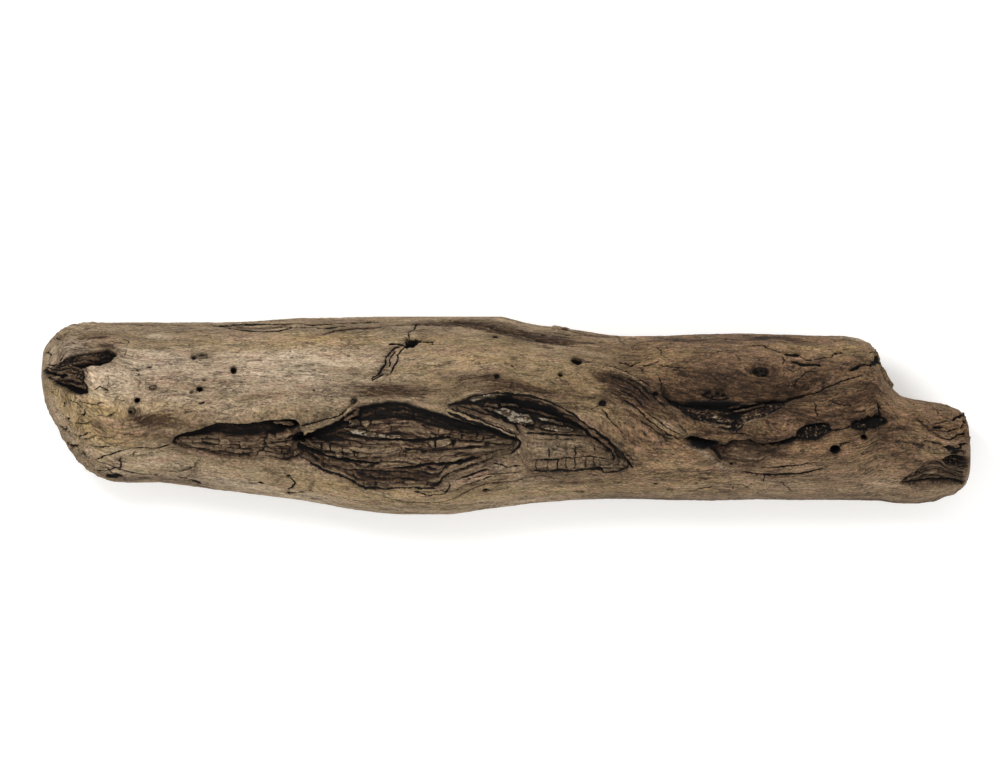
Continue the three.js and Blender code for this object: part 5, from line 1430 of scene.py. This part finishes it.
def driftwoodMaterial():
    # Skin: plain wood, bleached, yellowed, reddened and stained where painted so, where the stain tone also
    # carries painted shade at the log's edges and around the hollows, times a mottle of several grain noises,
    # with wavy dark checks. Rot: three browns by how light the layer is, with painted shade where it lies low
    # and lighter where it stands out, and black lines, painted shade with dirt, between the layers. Then chalk on
    # the crusts, and near-black painted shade in all that lies lower than what is around it, with the dark
    # of cracks, holes and gaps.
    look = woodLook
    n = Nodes("driftwood")
    tint = {name: linear(colour) for name, colour in look["colours"].items()}
    tone = {name: n.attribute(name) for name in
            ("dark", "pale", "rot", "layer", "grain", "yellow", "rosy", "bleach", "tan", "stainAndShade", "cavityShade")}
    sources = {}
    for sheet, grains, lines in (("grainPlace", "skinGrains", "skinLines"), ("layerPlace", "rotGrains", "rotLines")):
        vector = n.attribute(sheet, "Vector")
        sources.update({name: n.noise(vector, kind) for name, kind in look[grains].items()})
        sources.update({name: n.lines(vector, kind) for name, kind in look[lines].items()})
    bands, streaks, specks, hue = (sources[name] for name in ("bands", "streaks", "specks", "hue"))
    # checks and dashes come in crowds
    sources["checks"] = n.math("MULTIPLY", sources["checks"], n.ramp(sources["checkPlaces"], 0.5, 0.66))
    sources["dashes"] = n.math("MULTIPLY", sources["dashes"], n.ramp(sources["dashPlaces"], 0.5, 0.6))
    seams = n.math("MAXIMUM", sources["seams"], n.math("MULTIPLY", sources["fineSeams"], 0.7))
    sources["rotSeams"] = n.math("MULTIPLY", seams, tone["rot"])
    # the skin
    bleach = n.changed("ADD", tone["bleach"], sources, look["bleachChanges"], clamp=True)
    colour = n.mix(bleach, tint["plain"], tint["bleach"])
    colour = n.mix(n.math("MULTIPLY", tone["tan"], 1.0, clamp=True), colour, tint["tan"])
    yellow = n.math("MULTIPLY", tone["yellow"], n.ramp(bands, 0.7, 0.3, 0.45, 1.0), clamp=True)
    colour = n.mix(yellow, colour, tint["yellow"])
    colour = n.mix(n.math("MULTIPLY", tone["rosy"], 0.6, clamp=True), colour, tint["rosy"])
    colour = n.mix(n.ramp(hue, 0.53, 0.68, 0.0, 0.6), colour, tint["rosy"])
    colour = n.mix(n.ramp(hue, 0.47, 0.32, 0.0, 0.45), colour, tint["mould"])
    # stains and painted shade: umber over stains, the halos of hollows and the shaded edges of the log
    stainAndShade = n.math("MULTIPLY", tone["stainAndShade"], n.ramp(streaks, 0.3, 0.7, 1.2, 0.7), clamp=True)
    colour = n.mix(stainAndShade, colour, tint["umber"])
    mottle = n.changed("MULTIPLY", 1.0, sources, look["mottleChanges"])
    mottle = n.math("POWER", mottle, n.ramp(tone["tan"], 0.0, 1.0, 1.1, 1.45))  # the browner wood is rougher
    colour = n.mix(1.0, colour, mottle, "MULTIPLY")
    # the rot
    layer = n.changed("ADD", tone["layer"], sources, look["layerChanges"])
    # painted shade and light on the rot: darker where it lies low, lighter where it stands out
    layer = n.math("SUBTRACT", layer, n.ramp(tone["cavityShade"], -0.5, 0.5, -0.2, 0.3), clamp=True)
    rotten = n.mix(n.ramp(layer, 0.0, 0.42), tint["rotDark"], tint["rotBrown"])
    rotten = n.mix(n.ramp(layer, 0.42, 0.95), rotten, tint["rotLight"])
    rotten = n.mix(1.0, rotten, n.ramp(specks, 0.25, 0.75, 0.5, 1.5), "MULTIPLY")
    # black seams between the layers: painted shade with dirt
    rotten = n.mix(n.math("MULTIPLY", seams, 0.6), rotten, tint["crevice"])
    keep = n.math("SUBTRACT", 1.0, tone["grain"], clamp=True)
    colour = n.mix(n.math("MULTIPLY", tone["rot"], keep, clamp=True), colour, rotten)
    # chalk, then painted shade in low places and the dark of cracks, holes and gaps
    chalk = n.mix(1.0, tint["chalk"], n.ramp(specks, 0.25, 0.75, 0.5, 1.35), "MULTIPLY")
    crust = n.changed("ADD", tone["pale"], sources, look["crustChanges"])
    colour = n.mix(n.ramp(crust, 0.25, 0.7), colour, chalk)
    # painted shade: near black where the skin lies lower than its surroundings, joined with the dark tone
    low = n.ramp(tone["cavityShade"], 0.05, 0.6, 0.0, 0.95)
    ragged = n.math("ADD", tone["dark"], n.ramp(specks, 0.25, 0.75, 0.16, -0.16))
    dirtAndShade = n.math("MAXIMUM", low, n.ramp(ragged, 0.24, 0.62), clamp=True)
    colour = n.mix(dirtAndShade, colour, tint["crevice"])
    height = 0.0
    for name, share in look["bumpShares"].items():
        height = n.math("ADD", height, n.math("MULTIPLY", sources[name], share))
    bump = n.add("ShaderNodeBump", Height=height, Strength=1.0, Distance=look["bumpHeight"])
    shader = n.add("ShaderNodeBsdfPrincipled", Base_Color=colour, Roughness=look["roughness"],
                   Specular_IOR_Level=look["specular"], Normal=bump.outputs[0])
    output = n.tree.nodes.new("ShaderNodeOutputMaterial")
    n.tree.links.new(shader.outputs[0], output.inputs["Surface"])
    return n.material


# The studio: a pale floor, a soft light to the far side, a weaker one to the near side, and an even sky.
studio = {
    "floor": (240, 240, 239), "floorRoughness": 0.9, "floorGlow": 0.3, "floorSize": 6.0, "sky": 0.92,
    # each light: place, size, strength
    "lights": {"softKey": ((-0.45, 0.5, 1.6), 0.5, 10.5), "softFill": ((0.35, -0.6, 1.6), 0.6, 3.0)},
    "lens": 1100.0, "sensor": 36.0, "frameWidth": 0.5, "middle": (-0.003, 0.014), "height": 0.045,
}


def makeStudio():
    # A square floor, round lamps that face its middle, and an even white sky.
    half = studio["floorSize"] / 2
    mesh = bpy.data.meshes.new("studioFloor")
    mesh.from_pydata([(-half, -half, 0), (half, -half, 0), (half, half, 0), (-half, half, 0)], [], [(0, 1, 2, 3)])
    floor = bpy.data.objects.new("studioFloor", mesh)
    bpy.context.scene.collection.objects.link(floor)
    n = Nodes("paper")  # a white table, lit a little from within
    shader = n.add("ShaderNodeBsdfPrincipled", Base_Color=linear(studio["floor"]), Roughness=studio["floorRoughness"],
                   Emission_Color=linear(studio["floor"]), Emission_Strength=studio["floorGlow"])
    output = n.tree.nodes.new("ShaderNodeOutputMaterial")
    n.tree.links.new(shader.outputs[0], output.inputs["Surface"])
    mesh.materials.append(n.material)
    for name, (place, size, strength) in studio["lights"].items():
        light = bpy.data.lights.new(name, "AREA")
        light.shape = "DISK"
        light.size = size
        light.energy = strength
        lamp = bpy.data.objects.new(name, light)
        lamp.location = place
        lamp.rotation_euler = lamp.location.to_track_quat("Z", "Y").to_euler()
        bpy.context.scene.collection.objects.link(lamp)
    world = bpy.data.worlds.new("evenSky")
    world.use_nodes = True
    world.node_tree.nodes["Background"].inputs[0].default_value = (1, 1, 1, 1)
    world.node_tree.nodes["Background"].inputs[1].default_value = studio["sky"]
    bpy.context.scene.world = world
    bpy.context.scene.view_settings.view_transform = "Standard"
    print("studio: floor, lamps and sky made")


def makeCamera():
    # Straight down, from as far as the lens needs to see the frame's width at mid-height.
    camera = bpy.data.cameras.new("camera")
    camera.lens = studio["lens"]
    camera.sensor_width = studio["sensor"]
    camera.clip_end = 100
    away = studio["frameWidth"] * studio["lens"] / studio["sensor"]
    obj = bpy.data.objects.new("camera", camera)
    obj.location = (*studio["middle"], studio["height"] + away)
    bpy.context.scene.collection.objects.link(obj)
    bpy.context.scene.camera = obj


makeCamera()
makeStudio()
makeLog()
